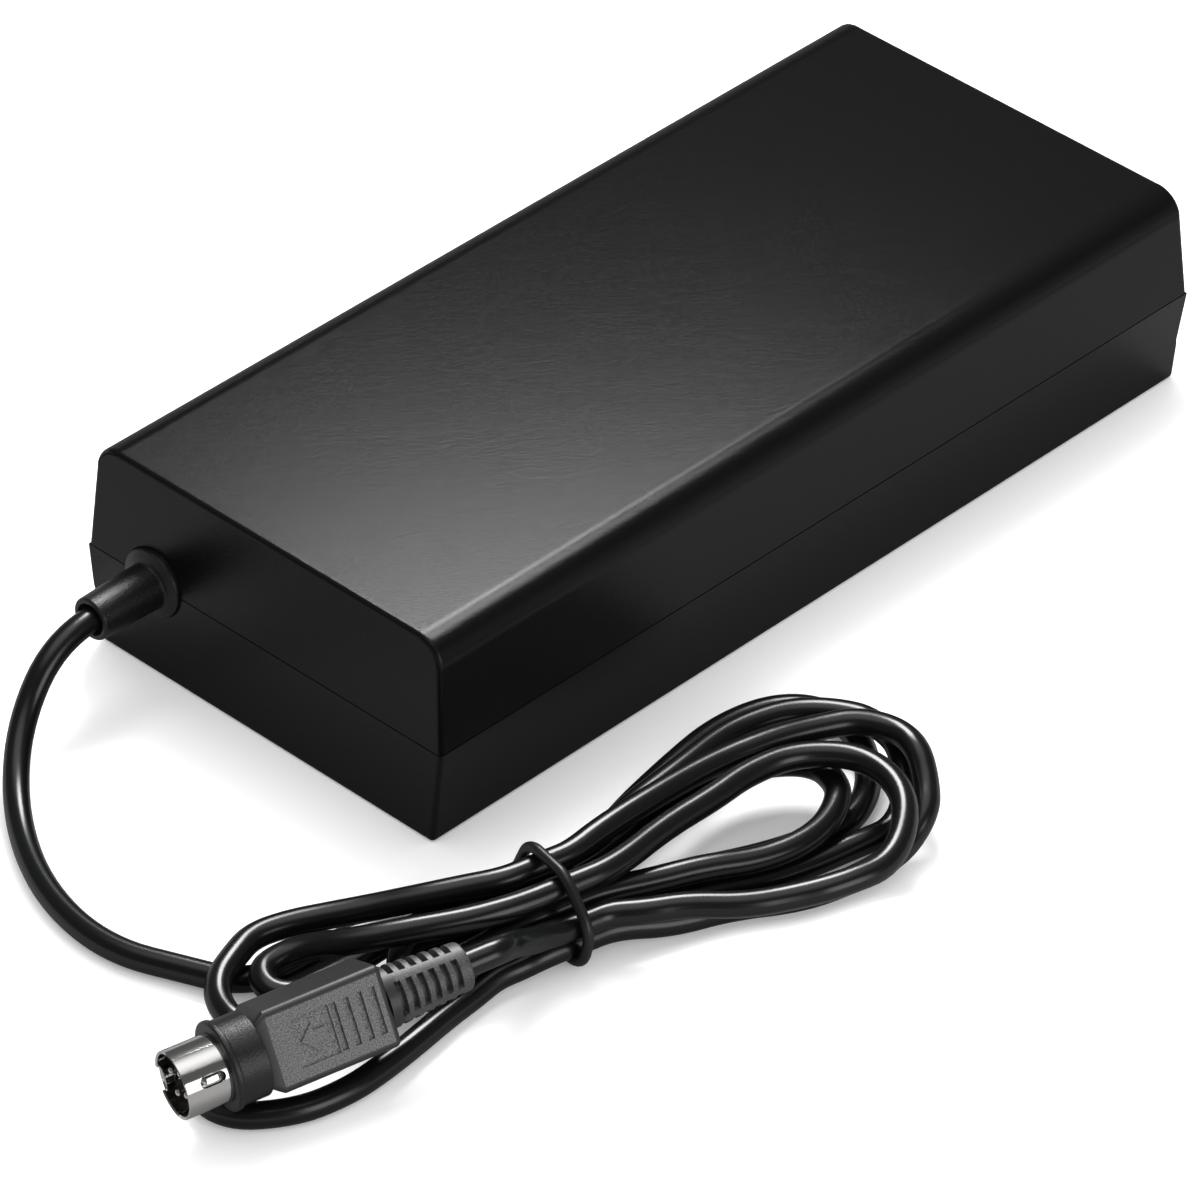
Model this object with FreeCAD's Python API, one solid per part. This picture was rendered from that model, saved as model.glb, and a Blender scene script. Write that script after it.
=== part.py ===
"""Laptop power adapter: case, mains inlet, inner parts, output cord with its hank, and the plug.

The frame has its origin at the centre of the case's underside, +Y along the case and +Z up.
"""
import os
from math import acos, atan2, cos, pi, radians, sin, sqrt, tan

import FreeCAD
import Part

V = FreeCAD.Vector

# Case
CASE_WIDTH = 72.0
CASE_LENGTH = 159.1
CASE_HEIGHT = 34.6
PARTING_HEIGHT = 16.5
SEAM = 0.2
WALL = 2.3
TOP_SIDE_DRAFT = 1.32
TOP_END_DRAFT = 1.27
BOTTOM_SIDE_DRAFT = 1.8
TOP_EDGE_RADIUS = 4.2
TOP_END_RADIUS = 0.8
BOTTOM_EDGE_RADIUS = 0.8
TONGUE_HEIGHT = 1.2
TONGUE_THICKNESS = 1.1

# Circuit board and its posts
BOARD_WIDTH = 60.0
BOARD_LENGTH = 124.0
BOARD_MIDDLE_Y = -5.0
BOARD_THICKNESS = 1.6
POST_HEIGHT = 3.1
POST_RADIUS = 2.5

# Mains inlet
INLET_WIDTH = 28.6
INLET_HEIGHT = 21.0
INLET_DEPTH = 20.0
SOCKET_WIDTH = 24.4
SOCKET_HEIGHT = 16.4
SOCKET_DEPTH = 16.0
SOCKET_BEVEL = 4.6
INLET_PIN_SPACING = 14.0
EARTH_PIN_RAISE = 4.0

# Cord and its case strain relief
CORD_DIAMETER = 3.9
GLAND_X = -22.4
GLAND_FLANGE_RADIUS = 5.5
GLAND_SLEEVE_LENGTH = 12.5
GLAND_SLEEVE_RADIUS = 3.7
GLAND_END_RADIUS = 3.35

# Hank: the tie's place on the ground, its heading, and the pitch of the strands in it
TIE_X = 62.51
TIE_Y = -83.74
TIE_HEADING = 77.0
STRAND_PITCH = 4.4
TIE_HALF_WIDTH = 3.0
TIE_WIRE_DIAMETER = 1.64

# Plug
PLUG_TAIL = (-21.3, 10.1, 13.1)
PLUG_TURN = 2.8
PLUG_TILT = 3.3
SHELL_RADIUS = 5.0
SHELL_WALL = 0.45
SHELL_LENGTH = 6.85
SHELL_ROOT_STEP = 0.2
SHELL_ROOT_GROOVE = 0.15
KEY_OFFSET = 0.4
KEY_WIDTH = 3.6
KEY_SETBACK = 0.5
KEY_DEPTH = 1.7
KEY_REACH = 3.3
KEY_BOW_RADIUS = 2.4
COLLAR_RADIUS = 6.55
COLLAR_LENGTH = 5.45
BODY_LENGTH = 19.45
BODY_WIDTH = 12.0
BODY_THICKNESS = 9.2
RELIEF_LENGTH = 13.25
RELIEF_RADIUS = 4.5
RELIEF_END_RADIUS = 3.5
RIB_COUNT = 6
RIB_PITCH = 1.78
RIB_SLOT = 0.65
CONTACT_COUNT = 4
CONTACT_CIRCLE_RADIUS = 2.25
LATCH_TRAVEL = 0.5

BOARD_TOP = WALL + POST_HEIGHT + BOARD_THICKNESS
CORD_RADIUS = CORD_DIAMETER / 2


def box(size, centre, low_z):
    """A block from its size, its centre in plan and its underside's height."""
    corner = V(centre[0] - size[0] / 2, centre[1] - size[1] / 2, low_z)
    return Part.makeBox(size[0], size[1], size[2], corner)


def rod(radius, length, start, direction):
    """A cylinder from its start along a direction."""
    return Part.makeCylinder(radius, length, V(*start), V(*direction))


def rounded_wire(corners, radii, place):
    """A closed outline with a rounded corner wherever the radius isn't nought."""
    edges = []
    ends = []
    count = len(corners)
    for i in range(count):
        here = V(corners[i][0], corners[i][1], 0)
        back = V(corners[i - 1][0], corners[i - 1][1], 0) - here
        ahead = V(corners[(i + 1) % count][0], corners[(i + 1) % count][1], 0) - here
        back.normalize()
        ahead.normalize()
        if radii[i] > 0:
            half = acos(max(-1.0, min(1.0, back.dot(ahead)))) / 2
            reach = radii[i] / tan(half)
            middle = back + ahead
            middle.normalize()
            centre = here + middle * (radii[i] / sin(half))
            ends.append((here + back * reach, centre - middle * radii[i], here + ahead * reach))
        else:
            ends.append((here, None, here))
    for i in range(count):
        start, middle, end = ends[i]
        if middle is not None:
            edges.append(Part.Arc(place(start), place(middle), place(end)).toShape())
        following = ends[(i + 1) % count][0]
        edges.append(Part.LineSegment(place(end), place(following)).toShape())
    return Part.Wire(edges)


def prism_along_y(corners, radii, low_y, length):
    """A prism along Y from an outline in X and Z."""
    wire = rounded_wire(corners, radii, lambda p: V(p.x, low_y, p.y))
    return Part.Face(wire).extrude(V(0, length, 0))


def prism_along_x(corners, radii, low_x, length):
    """A prism along X from an outline in Y and Z."""
    wire = rounded_wire(corners, radii, lambda p: V(low_x, p.x, p.y))
    return Part.Face(wire).extrude(V(length, 0, 0))


def drafted_block(low, high, low_half, high_half, side_radii, end_radii):
    """A block whose sides and ends lean between its underside and its top."""
    (lx, ly), (hx, hy) = low_half, high_half
    across = [(-lx, low), (lx, low), (hx, high), (-hx, high)]
    along = [(-ly, low), (ly, low), (hy, high), (-hy, high)]
    reach_y = max(ly, hy) + 1
    reach_x = max(lx, hx) + 1
    body = prism_along_y(across, side_radii, -reach_y, 2 * reach_y)
    return body.common(prism_along_x(along, end_radii, -reach_x, 2 * reach_x))


def case_halves():
    """The top cover and the bottom case, with the seam, the tongue and the two end openings."""
    half_x = CASE_WIDTH / 2
    half_y = CASE_LENGTH / 2
    seam_low = PARTING_HEIGHT - SEAM / 2
    seam_high = PARTING_HEIGHT + SEAM / 2
    top_half = (half_x - TOP_SIDE_DRAFT, half_y - TOP_END_DRAFT)
    low_half = (half_x - BOTTOM_SIDE_DRAFT, half_y)
    cover = drafted_block(seam_high, CASE_HEIGHT, (half_x, half_y), top_half,
                          (0, 0, TOP_EDGE_RADIUS, TOP_EDGE_RADIUS), (0, 0, TOP_END_RADIUS, TOP_END_RADIUS))
    inner_top = (top_half[0] - WALL, top_half[1] - WALL)
    cover_hollow = drafted_block(seam_high - 1, CASE_HEIGHT - WALL, (half_x - WALL, half_y - WALL), inner_top,
                                 (0, 0, TOP_EDGE_RADIUS - WALL, TOP_EDGE_RADIUS - WALL), (0, 0, 0, 0))
    cover = cover.cut(cover_hollow)
    base = drafted_block(0, seam_low, low_half, (half_x, half_y),
                         (BOTTOM_EDGE_RADIUS, BOTTOM_EDGE_RADIUS, 0, 0), (0.4, 0.4, 0, 0))
    base_hollow = drafted_block(WALL, seam_low + 1, (low_half[0] - WALL, half_y - WALL),
                                (half_x - WALL, half_y - WALL), (0, 0, 0, 0), (0, 0, 0, 0))
    base = base.cut(base_hollow)
    tongue_out = (CASE_WIDTH - 2 * WALL + 2 * TONGUE_THICKNESS, CASE_LENGTH - 2 * WALL + 2 * TONGUE_THICKNESS)
    tongue = box((tongue_out[0], tongue_out[1], TONGUE_HEIGHT), (0, 0), seam_low)
    tongue = tongue.cut(box((CASE_WIDTH - 2 * WALL, CASE_LENGTH - 2 * WALL, TONGUE_HEIGHT), (0, 0), seam_low))
    base = base.fuse(tongue)
    cover = cover.cut(box((tongue_out[0], tongue_out[1], seam_low + TONGUE_HEIGHT), (0, 0), 0))
    for x in (-1, 1):
        for y in (-1, 1):
            place = (x * (BOARD_WIDTH / 2 - 5), BOARD_MIDDLE_Y + y * (BOARD_LENGTH / 2 - 5))
            base = base.fuse(rod(POST_RADIUS, POST_HEIGHT + 0.5, (place[0], place[1], WALL - 0.5), (0, 0, 1)))
    inlet = box((INLET_WIDTH, 8, INLET_HEIGHT), (0, half_y), CASE_HEIGHT / 2 - INLET_HEIGHT / 2)
    end = (GLAND_X, -half_y - 1, PARTING_HEIGHT)
    throat = rod(GLAND_SLEEVE_RADIUS + 0.1, WALL + 2.5, end, (0, 1, 0))
    recess = rod(GLAND_FLANGE_RADIUS + 0.15, 1.6, end, (0, 1, 0))
    openings = inlet.fuse([throat, recess])
    return cover.cut(openings).removeSplitter(), base.cut(openings).removeSplitter()


def inlet_parts():
    """The inlet housing on the far end face and its three pins."""
    face_y = CASE_LENGTH / 2 + 0.3
    middle_z = CASE_HEIGHT / 2
    low_z = middle_z - INLET_HEIGHT / 2
    housing = box((INLET_WIDTH - 0.1, INLET_DEPTH, INLET_HEIGHT - 0.1), (0, face_y - INLET_DEPTH / 2), low_z + 0.05)
    half_w = SOCKET_WIDTH / 2
    half_h = SOCKET_HEIGHT / 2
    outline = [(-half_w, -half_h), (half_w, -half_h), (half_w, half_h - SOCKET_BEVEL),
               (half_w - SOCKET_BEVEL, half_h), (-half_w + SOCKET_BEVEL, half_h), (-half_w, half_h - SOCKET_BEVEL)]
    outline = [(x, z + middle_z) for x, z in outline]
    socket = prism_along_y(outline, (1.5, 1.5, 0.5, 0.5, 0.5, 0.5), face_y - SOCKET_DEPTH, SOCKET_DEPTH + 1)
    housing = housing.cut(socket)
    pins = []
    for x, z, length in ((-INLET_PIN_SPACING / 2, -1.0, 13.0), (INLET_PIN_SPACING / 2, -1.0, 13.0),
                         (0, -1.0 + EARTH_PIN_RAISE, 14.5)):
        back_y = face_y - INLET_DEPTH - 3
        span = INLET_DEPTH + 3 - SOCKET_DEPTH + length
        pins.append(box((2.0, span, 4.0), (x, back_y + span / 2), middle_z + z - 2.0))
    for pin in pins:
        housing = housing.cut(pin)
    return housing, pins


def tube(edges, radius, start, direction):
    """A closed tube along joined edges."""
    path = Part.Wire(edges)
    ring = Part.Wire(Part.makeCircle(radius, start, direction))
    return path.makePipeShell([ring], True, False)


def rounded_path(points):
    """Straight runs joined by arcs that touch them, and the arcs' radii."""
    edges = []
    radii = []
    points = [V(*p) for p in points]
    start = points[0]
    for i in range(1, len(points) - 1):
        back = points[i - 1] - points[i]
        ahead = points[i + 1] - points[i]
        turn = pi - back.getAngle(ahead)
        shorter = min(back.Length, ahead.Length)
        radius = 0.45 * shorter / tan(turn / 2)
        radii.append(radius)
        back.normalize()
        ahead.normalize()
        first = points[i] + back * (0.45 * shorter)
        last = points[i] + ahead * (0.45 * shorter)
        middle = back + ahead
        middle.normalize()
        crown = points[i] + middle * (radius / cos(turn / 2) - radius)
        edges.append(Part.LineSegment(start, first).toShape())
        edges.append(Part.Arc(first, crown, last).toShape())
        start = last
    edges.append(Part.LineSegment(start, points[-1]).toShape())
    return edges, radii


def heading_vector(heading, slope=0.0):
    """A unit direction from a heading in the tie's frame and a slope."""
    direction = V(cos(radians(heading)), sin(radians(heading)), slope)
    direction.normalize()
    return direction


def from_tie(point):
    """A point in the tie's frame, along and across the bundle, in the part's frame."""
    turn = radians(TIE_HEADING)
    return V(TIE_X + point.x * cos(turn) + point.y * sin(turn),
             TIE_Y + point.x * sin(turn) - point.y * cos(turn), point.z)


def turned_from_tie(direction):
    """A direction in the tie's frame, in the part's frame."""
    return from_tie(direction) - from_tie(V(0, 0, 0))


def strand_cell(row, place):
    """Where a strand passes through the tie: rows are stacked like pipes, four, four and two wide."""
    across = -2 * STRAND_PITCH + STRAND_PITCH * place + (0, STRAND_PITCH / 2, STRAND_PITCH)[row]
    return across, 3.7 + row * STRAND_PITCH * sin(radians(60.2))


CELLS = {
    "entry": strand_cell(0, 0), "low_a": strand_cell(0, 1), "low_b": strand_cell(0, 2), "low_c": strand_cell(0, 3),
    "mid_a": strand_cell(1, 0), "mid_b": strand_cell(1, 1), "mid_c": strand_cell(1, 2), "exit": strand_cell(1, 3),
    "high_a": strand_cell(2, 0), "high_b": strand_cell(2, 1),
}

# Where the cord comes in along the ground: along, across, height and heading
HANK_ENTRY = [(-44.8, -18.2, 2, 54), (-35, -13.5, 2, 3), (-16.5, -12.6, 2, 10)]

# Half loops in winding order, each with the cell it comes back to and the places it goes through
HALF_LOOPS = [
    ("low_a", [(26.8, -19.3, 2.4, -23), (48, -26.4, 2, 0), (61, -16, 2, 90), (52, -1, 2, 142),
               (40, 1.4, 2, 184), (18, -2.3, 2.1, 187)]),
    ("high_a", [(-18, -4.7, 2.1, 180), (-28, -4.4, 2, 177), (-40, 0.8, 2, 172), (-50.5, -6, 6.4, 270),
                (-37, -17.6, 6.5, 0), (-18.4, -11.5, 10.3, 28)]),
    ("low_c", [(14, -6.7, 11.7, -13), (40, -10.9, 11.2, 0), (62, 0, 10.6, 90), (44, 12.6, 2, 180),
               (20, 8, 2, 190)]),
    ("mid_a", [(-17, 7.2, 2, 165), (-45, 13.1, 2, 180), (-59, 3.5, 2, 270), (-49.5, -6.4, 2, -12),
               (-33, -8.8, 2.2, 0), (-18, -8.6, 5.2, 5)]),
    ("low_b", [(26, -15, 6.8, -17), (46, -20, 6.4, 0), (60.2, -9, 6.3, 90), (48.5, 6.2, 2.3, 180),
               (36, 5.9, 2, 183), (18, 2.5, 2.3, 187)]),
    ("mid_b", [(-19.6, 2.5, 2, 178), (-23.8, -0.6, 4.6, 270, 0.8), (-19.5, -3.9, 7, 0)]),
    ("mid_c", [(26, -9.1, 6.9, -14), (38, -12.2, 6.5, 0), (49, -4.4, 6.4, 90), (37, 5, 6.5, 182)]),
    ("high_b", [(-18, 2.6, 7.3, 180), (-26, 2.2, 7.9, 184), (-40.4, -1, 6.9, 182), (-45, -5.6, 6.9, 270),
                (-40.4, -10.2, 6.9, 0), (-25.7, -4.7, 11.2, 24), (-10, 0.6, 11.8, 8)]),
    ("exit", [(26, -4, 11.2, -10), (40, -6.4, 11, 0), (52.8, 4, 10.9, 90), (38.5, 18.6, 8.4, 180),
              (24, 14.6, 7.6, 195)]),
]


def plug_axis():
    """The direction from the plug's shell to its tail in the tie's frame."""
    return heading_vector(PLUG_TURN, tan(radians(PLUG_TILT)))


def hank_nodes():
    """The hank's places and directions, from the ground to the plug's tail."""
    nodes = []

    def put(x, y, z, heading, slope=0.0):
        nodes.append((V(x, y, z), heading_vector(heading, slope)))

    first = heading_vector(HANK_ENTRY[0][3])
    lead = V(*HANK_ENTRY[0][:3]) - first * CORD_DIAMETER
    nodes.append((lead, first))
    for node in HANK_ENTRY:
        put(*node)
    cell = "entry"
    put(-TIE_HALF_WIDTH, CELLS[cell][0], CELLS[cell][1], 0)
    side = 1
    for back_to, places in HALF_LOOPS:
        out = 0 if side > 0 else 180
        put(side * TIE_HALF_WIDTH, CELLS[cell][0], CELLS[cell][1], out)
        for node in places:
            put(*node)
        cell = back_to
        put(side * TIE_HALF_WIDTH, CELLS[cell][0], CELLS[cell][1], out + 180)
        side = -side
    put(-TIE_HALF_WIDTH, CELLS[cell][0], CELLS[cell][1], 180)
    tail = V(*PLUG_TAIL)
    inward = plug_axis() * -1
    nodes.append((tail - inward * CORD_DIAMETER, inward))
    nodes.append((tail, inward))
    return nodes


def biarc_middle(p0, t0, p1, t1):
    """The place where two arcs that leave p0 along t0 and reach p1 along t1 meet."""
    gap = p1 - p0
    both = t0 + t1
    spread = 2 * (1 - t0.dot(t1))
    if spread < 1e-9:
        reach = gap.dot(gap) / (4 * gap.dot(t1))
    else:
        reach = (-gap.dot(both) + sqrt(gap.dot(both) ** 2 + spread * gap.dot(gap))) / spread
    return (p0 + p1 + (t0 - t1) * reach) * 0.5


def arc_from(p0, t0, p1):
    """The arc that leaves p0 along t0 and ends at p1, its end direction and its radius."""
    chord = p1 - p0
    if chord.cross(t0).Length < 1e-6:
        return Part.LineSegment(p0, p1), V(t0), 1e9
    end = chord * (2 * chord.dot(t0) / chord.dot(chord)) - t0
    side = chord - t0 * chord.dot(t0)
    side.normalize()
    radius = chord.dot(chord) / (2 * chord.dot(side))
    centre = p0 + side * radius
    outward = (p0 + p1) * 0.5 - centre
    if outward.Length < 1e-6:
        outward = V(t0)
    outward.normalize()
    if chord.dot(t0) < 0:
        outward = outward * -1
    return Part.Arc(p0, centre + outward * radius, p1), end, radius


def hank_path():
    """The hank's edges in the part's frame, its measured points and its smallest radius."""
    edges = []
    points = []
    smallest = 1e9
    nodes = hank_nodes()
    for (p0, t0), (p1, t1) in zip(nodes[:-1], nodes[1:]):
        if (p1 - p0).cross(t0).Length < 1e-6:
            pieces = [Part.LineSegment(p0, p1)]
        else:
            middle = biarc_middle(p0, t0, p1, t1)
            first, direction, r0 = arc_from(p0, t0, middle)
            second, direction, r1 = arc_from(middle, direction, p1)
            smallest = min(smallest, r0, r1)
            pieces = [first, second]
        for piece in pieces:
            edge = piece.toShape()
            points += edge.discretize(Distance=0.6)[:-1]
            ends = [edge.valueAt(edge.FirstParameter + (edge.LastParameter - edge.FirstParameter) * k / 2)
                    for k in range(3)]
            ends = [from_tie(p) for p in ends]
            if abs((ends[1] - ends[0]).cross(ends[2] - ends[0]).Length) < 1e-6:
                edges.append(Part.LineSegment(ends[0], ends[2]).toShape())
            else:
                edges.append(Part.Arc(*ends).toShape())
    points.append(nodes[-1][0])
    return edges, points, smallest


def least_gap(points, diameter):
    """The least gap of a tube to its own other strands, from points along its middle."""
    run = [0.0]
    for a, b in zip(points[:-1], points[1:]):
        run.append(run[-1] + (b - a).Length)
    least = 1e9
    flat = [(p.x, p.y, p.z) for p in points]
    for i in range(len(flat)):
        x, y, z = flat[i]
        for j in range(i + 1, len(flat)):
            if run[j] - run[i] > 2.4 * diameter:
                d = (flat[j][0] - x) ** 2 + (flat[j][1] - y) ** 2 + (flat[j][2] - z) ** 2
                if d < least:
                    least = d
    return sqrt(least) - diameter


def tie_ring():
    """A ring of round wire laid round the strands where they pass through the tie."""
    keep = ["entry", "low_c", "exit", "high_b", "high_a"]
    corners = [CELLS[name] for name in keep]
    offset = CORD_RADIUS + TIE_WIRE_DIAMETER / 2 + 0.08
    grown = []
    for i in range(len(corners)):
        here = V(corners[i][0], corners[i][1], 0)
        back = V(corners[i - 1][0], corners[i - 1][1], 0) - here
        ahead = V(corners[(i + 1) % len(corners)][0], corners[(i + 1) % len(corners)][1], 0) - here
        back.normalize()
        ahead.normalize()
        outward = (back + ahead) * -1
        outward.normalize()
        half = acos(back.dot(ahead)) / 2
        grown.append((here.x + outward.x * offset / sin(half), here.y + outward.y * offset / sin(half)))
    wire = rounded_wire(grown, [offset] * len(grown), lambda p: from_tie(V(0, p.x, p.y)))
    start = wire.OrderedEdges[0]
    ring = Part.Wire(Part.makeCircle(TIE_WIRE_DIAMETER / 2, start.valueAt(start.FirstParameter),
                                     start.tangentAt(start.FirstParameter)))
    return wire.makePipeShell([ring], True, False)


def gland():
    """The case strain relief: inner flange, throat, domed outer flange and tapered sleeve."""
    wall_y = -CASE_LENGTH / 2
    outline = [(CORD_RADIUS + 0.02, 5.0), (GLAND_FLANGE_RADIUS, 5.0), (GLAND_FLANGE_RADIUS, WALL + 0.45),
               (GLAND_SLEEVE_RADIUS, WALL + 0.45), (GLAND_SLEEVE_RADIUS, 0.58), (GLAND_FLANGE_RADIUS, 0.58),
               (GLAND_FLANGE_RADIUS, -0.35), (GLAND_FLANGE_RADIUS - 0.8, -0.85), (GLAND_SLEEVE_RADIUS, -1.2),
               (GLAND_END_RADIUS, -GLAND_SLEEVE_LENGTH + 0.3), (GLAND_END_RADIUS - 0.3, -GLAND_SLEEVE_LENGTH),
               (CORD_RADIUS + 0.45, -GLAND_SLEEVE_LENGTH), (CORD_RADIUS + 0.02, -GLAND_SLEEVE_LENGTH + 1.2)]
    points = [V(GLAND_X + r, wall_y + y, PARTING_HEIGHT) for r, y in outline]
    face = Part.Face(Part.makePolygon(points + [points[0]]))
    return face.revolve(V(GLAND_X, wall_y, PARTING_HEIGHT), V(0, 1, 0), 360)


def free_stretch_points():
    """The cord's way from the case strain relief down to the ground and round to the hank."""
    start = HANK_ENTRY[0]
    direction = heading_vector(start[3])
    end = V(*start[:3]) - direction * CORD_DIAMETER
    before = end - direction * 12.0
    end_y = -CASE_LENGTH / 2 - GLAND_SLEEVE_LENGTH
    points = [(GLAND_X, end_y + 1.0, PARTING_HEIGHT), (GLAND_X, end_y - 7.5, PARTING_HEIGHT),
              (GLAND_X + 0.8, end_y - 16.6, 7.0), (GLAND_X + 10.9, end_y - 26.2, 2.0), (4.5, -127.0, 2.0)]
    for p in (before, end):
        q = from_tie(p)
        points.append((q.x, q.y, q.z))
    return points


def plug_placement():
    """Turns the plug's own frame, with its axis along Z from the shell's mouth, into the part's frame."""
    axis = turned_from_tie(plug_axis())
    side = axis.cross(V(0, 0, 1))
    side.normalize()
    up = side.cross(axis)
    face_normal = side * cos(radians(28.8)) + up * sin(radians(28.8))
    across = face_normal.cross(axis)
    turn = FreeCAD.Rotation(across, face_normal, axis, "ZYX")
    length = SHELL_LENGTH + COLLAR_LENGTH + BODY_LENGTH + RELIEF_LENGTH
    mouth = from_tie(V(*PLUG_TAIL)) - axis * length
    return FreeCAD.Placement(mouth, turn)


def plug_parts():
    """The plug's pieces in their own frame: Z runs from the shell's mouth, Y is the big face's normal."""
    collar_z = SHELL_LENGTH
    body_z = collar_z + COLLAR_LENGTH
    relief_z = body_z + BODY_LENGTH
    end_z = relief_z + RELIEF_LENGTH
    inner = SHELL_RADIUS - SHELL_WALL

    root = SHELL_RADIUS - SHELL_ROOT_STEP
    shell = Part.makeCylinder(SHELL_RADIUS, SHELL_LENGTH - SHELL_ROOT_GROOVE, V(0, 0, 0))
    shell = shell.fuse(Part.makeCylinder(root, SHELL_LENGTH + 3, V(0, 0, 0)))
    shell = shell.cut(Part.makeCylinder(inner, SHELL_LENGTH + 4, V(0, 0, -0.5)))
    shell = shell.cut(box((KEY_WIDTH, 3.0, KEY_DEPTH), (KEY_OFFSET, -SHELL_RADIUS), 0))
    bow = V(KEY_OFFSET, -KEY_REACH - KEY_BOW_RADIUS, KEY_SETBACK)
    key = Part.makeCylinder(KEY_BOW_RADIUS, KEY_DEPTH - KEY_SETBACK + 0.1, bow)
    shell = shell.fuse(key.common(Part.makeCylinder(SHELL_RADIUS, SHELL_LENGTH, V(0, 0, 0))))
    window = box((1.6, 4 * SHELL_RADIUS, 3.9), (0, 0), 2.2)
    shell = shell.cut(window)

    insulator = Part.makeCylinder(inner - 0.02, 4.4, V(0, 0, 4.4))
    insulator = insulator.fuse(Part.makeCylinder(inner - 0.02, 1.0, V(0, 0, 8.8)))
    for side in (-1, 1):
        insulator = insulator.cut(box((1.9, 1.8, 5.4), (0, side * inner), 4.4))
    pins = []
    for i in range(CONTACT_COUNT):
        angle = 2 * pi * (i + 0.5) / CONTACT_COUNT
        at = V(CONTACT_CIRCLE_RADIUS * cos(angle), CONTACT_CIRCLE_RADIUS * sin(angle), 1.2)
        pin = Part.makeCylinder(0.5, 8.4, at)
        pin = pin.fuse(Part.makeSphere(0.5, at))
        pins.append(pin)
        insulator = insulator.cut(Part.makeCylinder(0.5, 8.4, at))
    contacts = Part.makeCompound(pins)

    latches = []
    for side in (-1, 1):
        leaf = box((1.2, 0.3, 7.0), (0, side * (inner - 0.25)), 2.0)
        bump = Part.makeCylinder(1.1, 1.2, V(-0.6, side * (inner - 0.72), 4.1), V(1, 0, 0))
        keep = box((1.2, 1.2, 2.6), (0, side * (inner + 0.35)), 2.8)
        latches.append(leaf.fuse(bump.common(keep)).removeSplitter())

    collar = Part.makeCylinder(COLLAR_RADIUS, 1.0, V(0, 0, collar_z))
    collar = collar.fuse(Part.makeCylinder(COLLAR_RADIUS - 0.35, COLLAR_LENGTH - 0.9, V(0, 0, collar_z + 0.9)))
    collar = collar.cut(Part.makeCylinder(root + 0.03, 3.0, V(0, 0, collar_z)))

    half_w = BODY_WIDTH / 2
    half_t = BODY_THICKNESS / 2
    corners = [(-half_w, -half_t), (half_w, -half_t), (half_w, half_t), (-half_w, half_t)]
    wire = rounded_wire(corners, (1.3,) * 4, lambda p: V(p.x, p.y, body_z))
    body = Part.Face(wire).extrude(V(0, 0, BODY_LENGTH))
    nose = Part.makeCone(COLLAR_RADIUS - 0.9, COLLAR_RADIUS + 3.2, 4.2, V(0, 0, body_z))
    nose = nose.fuse(Part.makeCylinder(COLLAR_RADIUS + 3.2, BODY_LENGTH, V(0, 0, body_z + 4.2)))
    body = body.common(nose)
    neck = Part.makeCone(RELIEF_RADIUS, RELIEF_END_RADIUS, RELIEF_LENGTH, V(0, 0, relief_z - 0.01))
    for i in range(RIB_COUNT):
        slot_z = relief_z + 1.5 + i * RIB_PITCH
        radius = RELIEF_RADIUS - (RELIEF_RADIUS - RELIEF_END_RADIUS) * (slot_z - relief_z) / RELIEF_LENGTH
        cutter = Part.makeCylinder(radius + 1, RIB_SLOT, V(0, 0, slot_z))
        cutter = cutter.cut(Part.makeCylinder(radius - 1.0, RIB_SLOT, V(0, 0, slot_z)))
        for quarter in range(4):
            spine = box((2 * radius + 3, 1.5, RIB_SLOT), (radius + 1.5, 0), slot_z)
            spine.rotate(V(0, 0, 0), V(0, 0, 1), 45 + 90 * quarter)
            cutter = cutter.cut(spine)
        neck = neck.cut(cutter)
    body = body.fuse(neck)
    recess = 0.35
    for i in range(4):
        groove = box((6.9, 1.0, 0.95), (0, half_t), body_z + BODY_LENGTH - 2.6 - i * 2.0)
        body = body.cut(groove)
    panel_z = body_z + 4.6
    panel = box((7.0, 2 * recess, 6.0), (0, half_t), panel_z)
    arrow = Part.Face(Part.makePolygon([V(0, half_t - recess, panel_z + 1.0), V(2.0, half_t - recess, panel_z + 3.0),
                                        V(0.9, half_t - recess, panel_z + 3.0), V(0.9, half_t - recess, panel_z + 4.8),
                                        V(-0.9, half_t - recess, panel_z + 4.8), V(-0.9, half_t - recess, panel_z + 3.0),
                                        V(-2.0, half_t - recess, panel_z + 3.0), V(0, half_t - recess, panel_z + 1.0)]))
    body = body.cut(panel.cut(arrow.extrude(V(0, 1, 0))))
    return {"plug_shell": shell, "plug_insulator": insulator, "plug_contacts": contacts, "latch_spring_near": latches[1],
            "latch_spring_far": latches[0], "plug_collar": collar, "plug_body": body}


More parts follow.
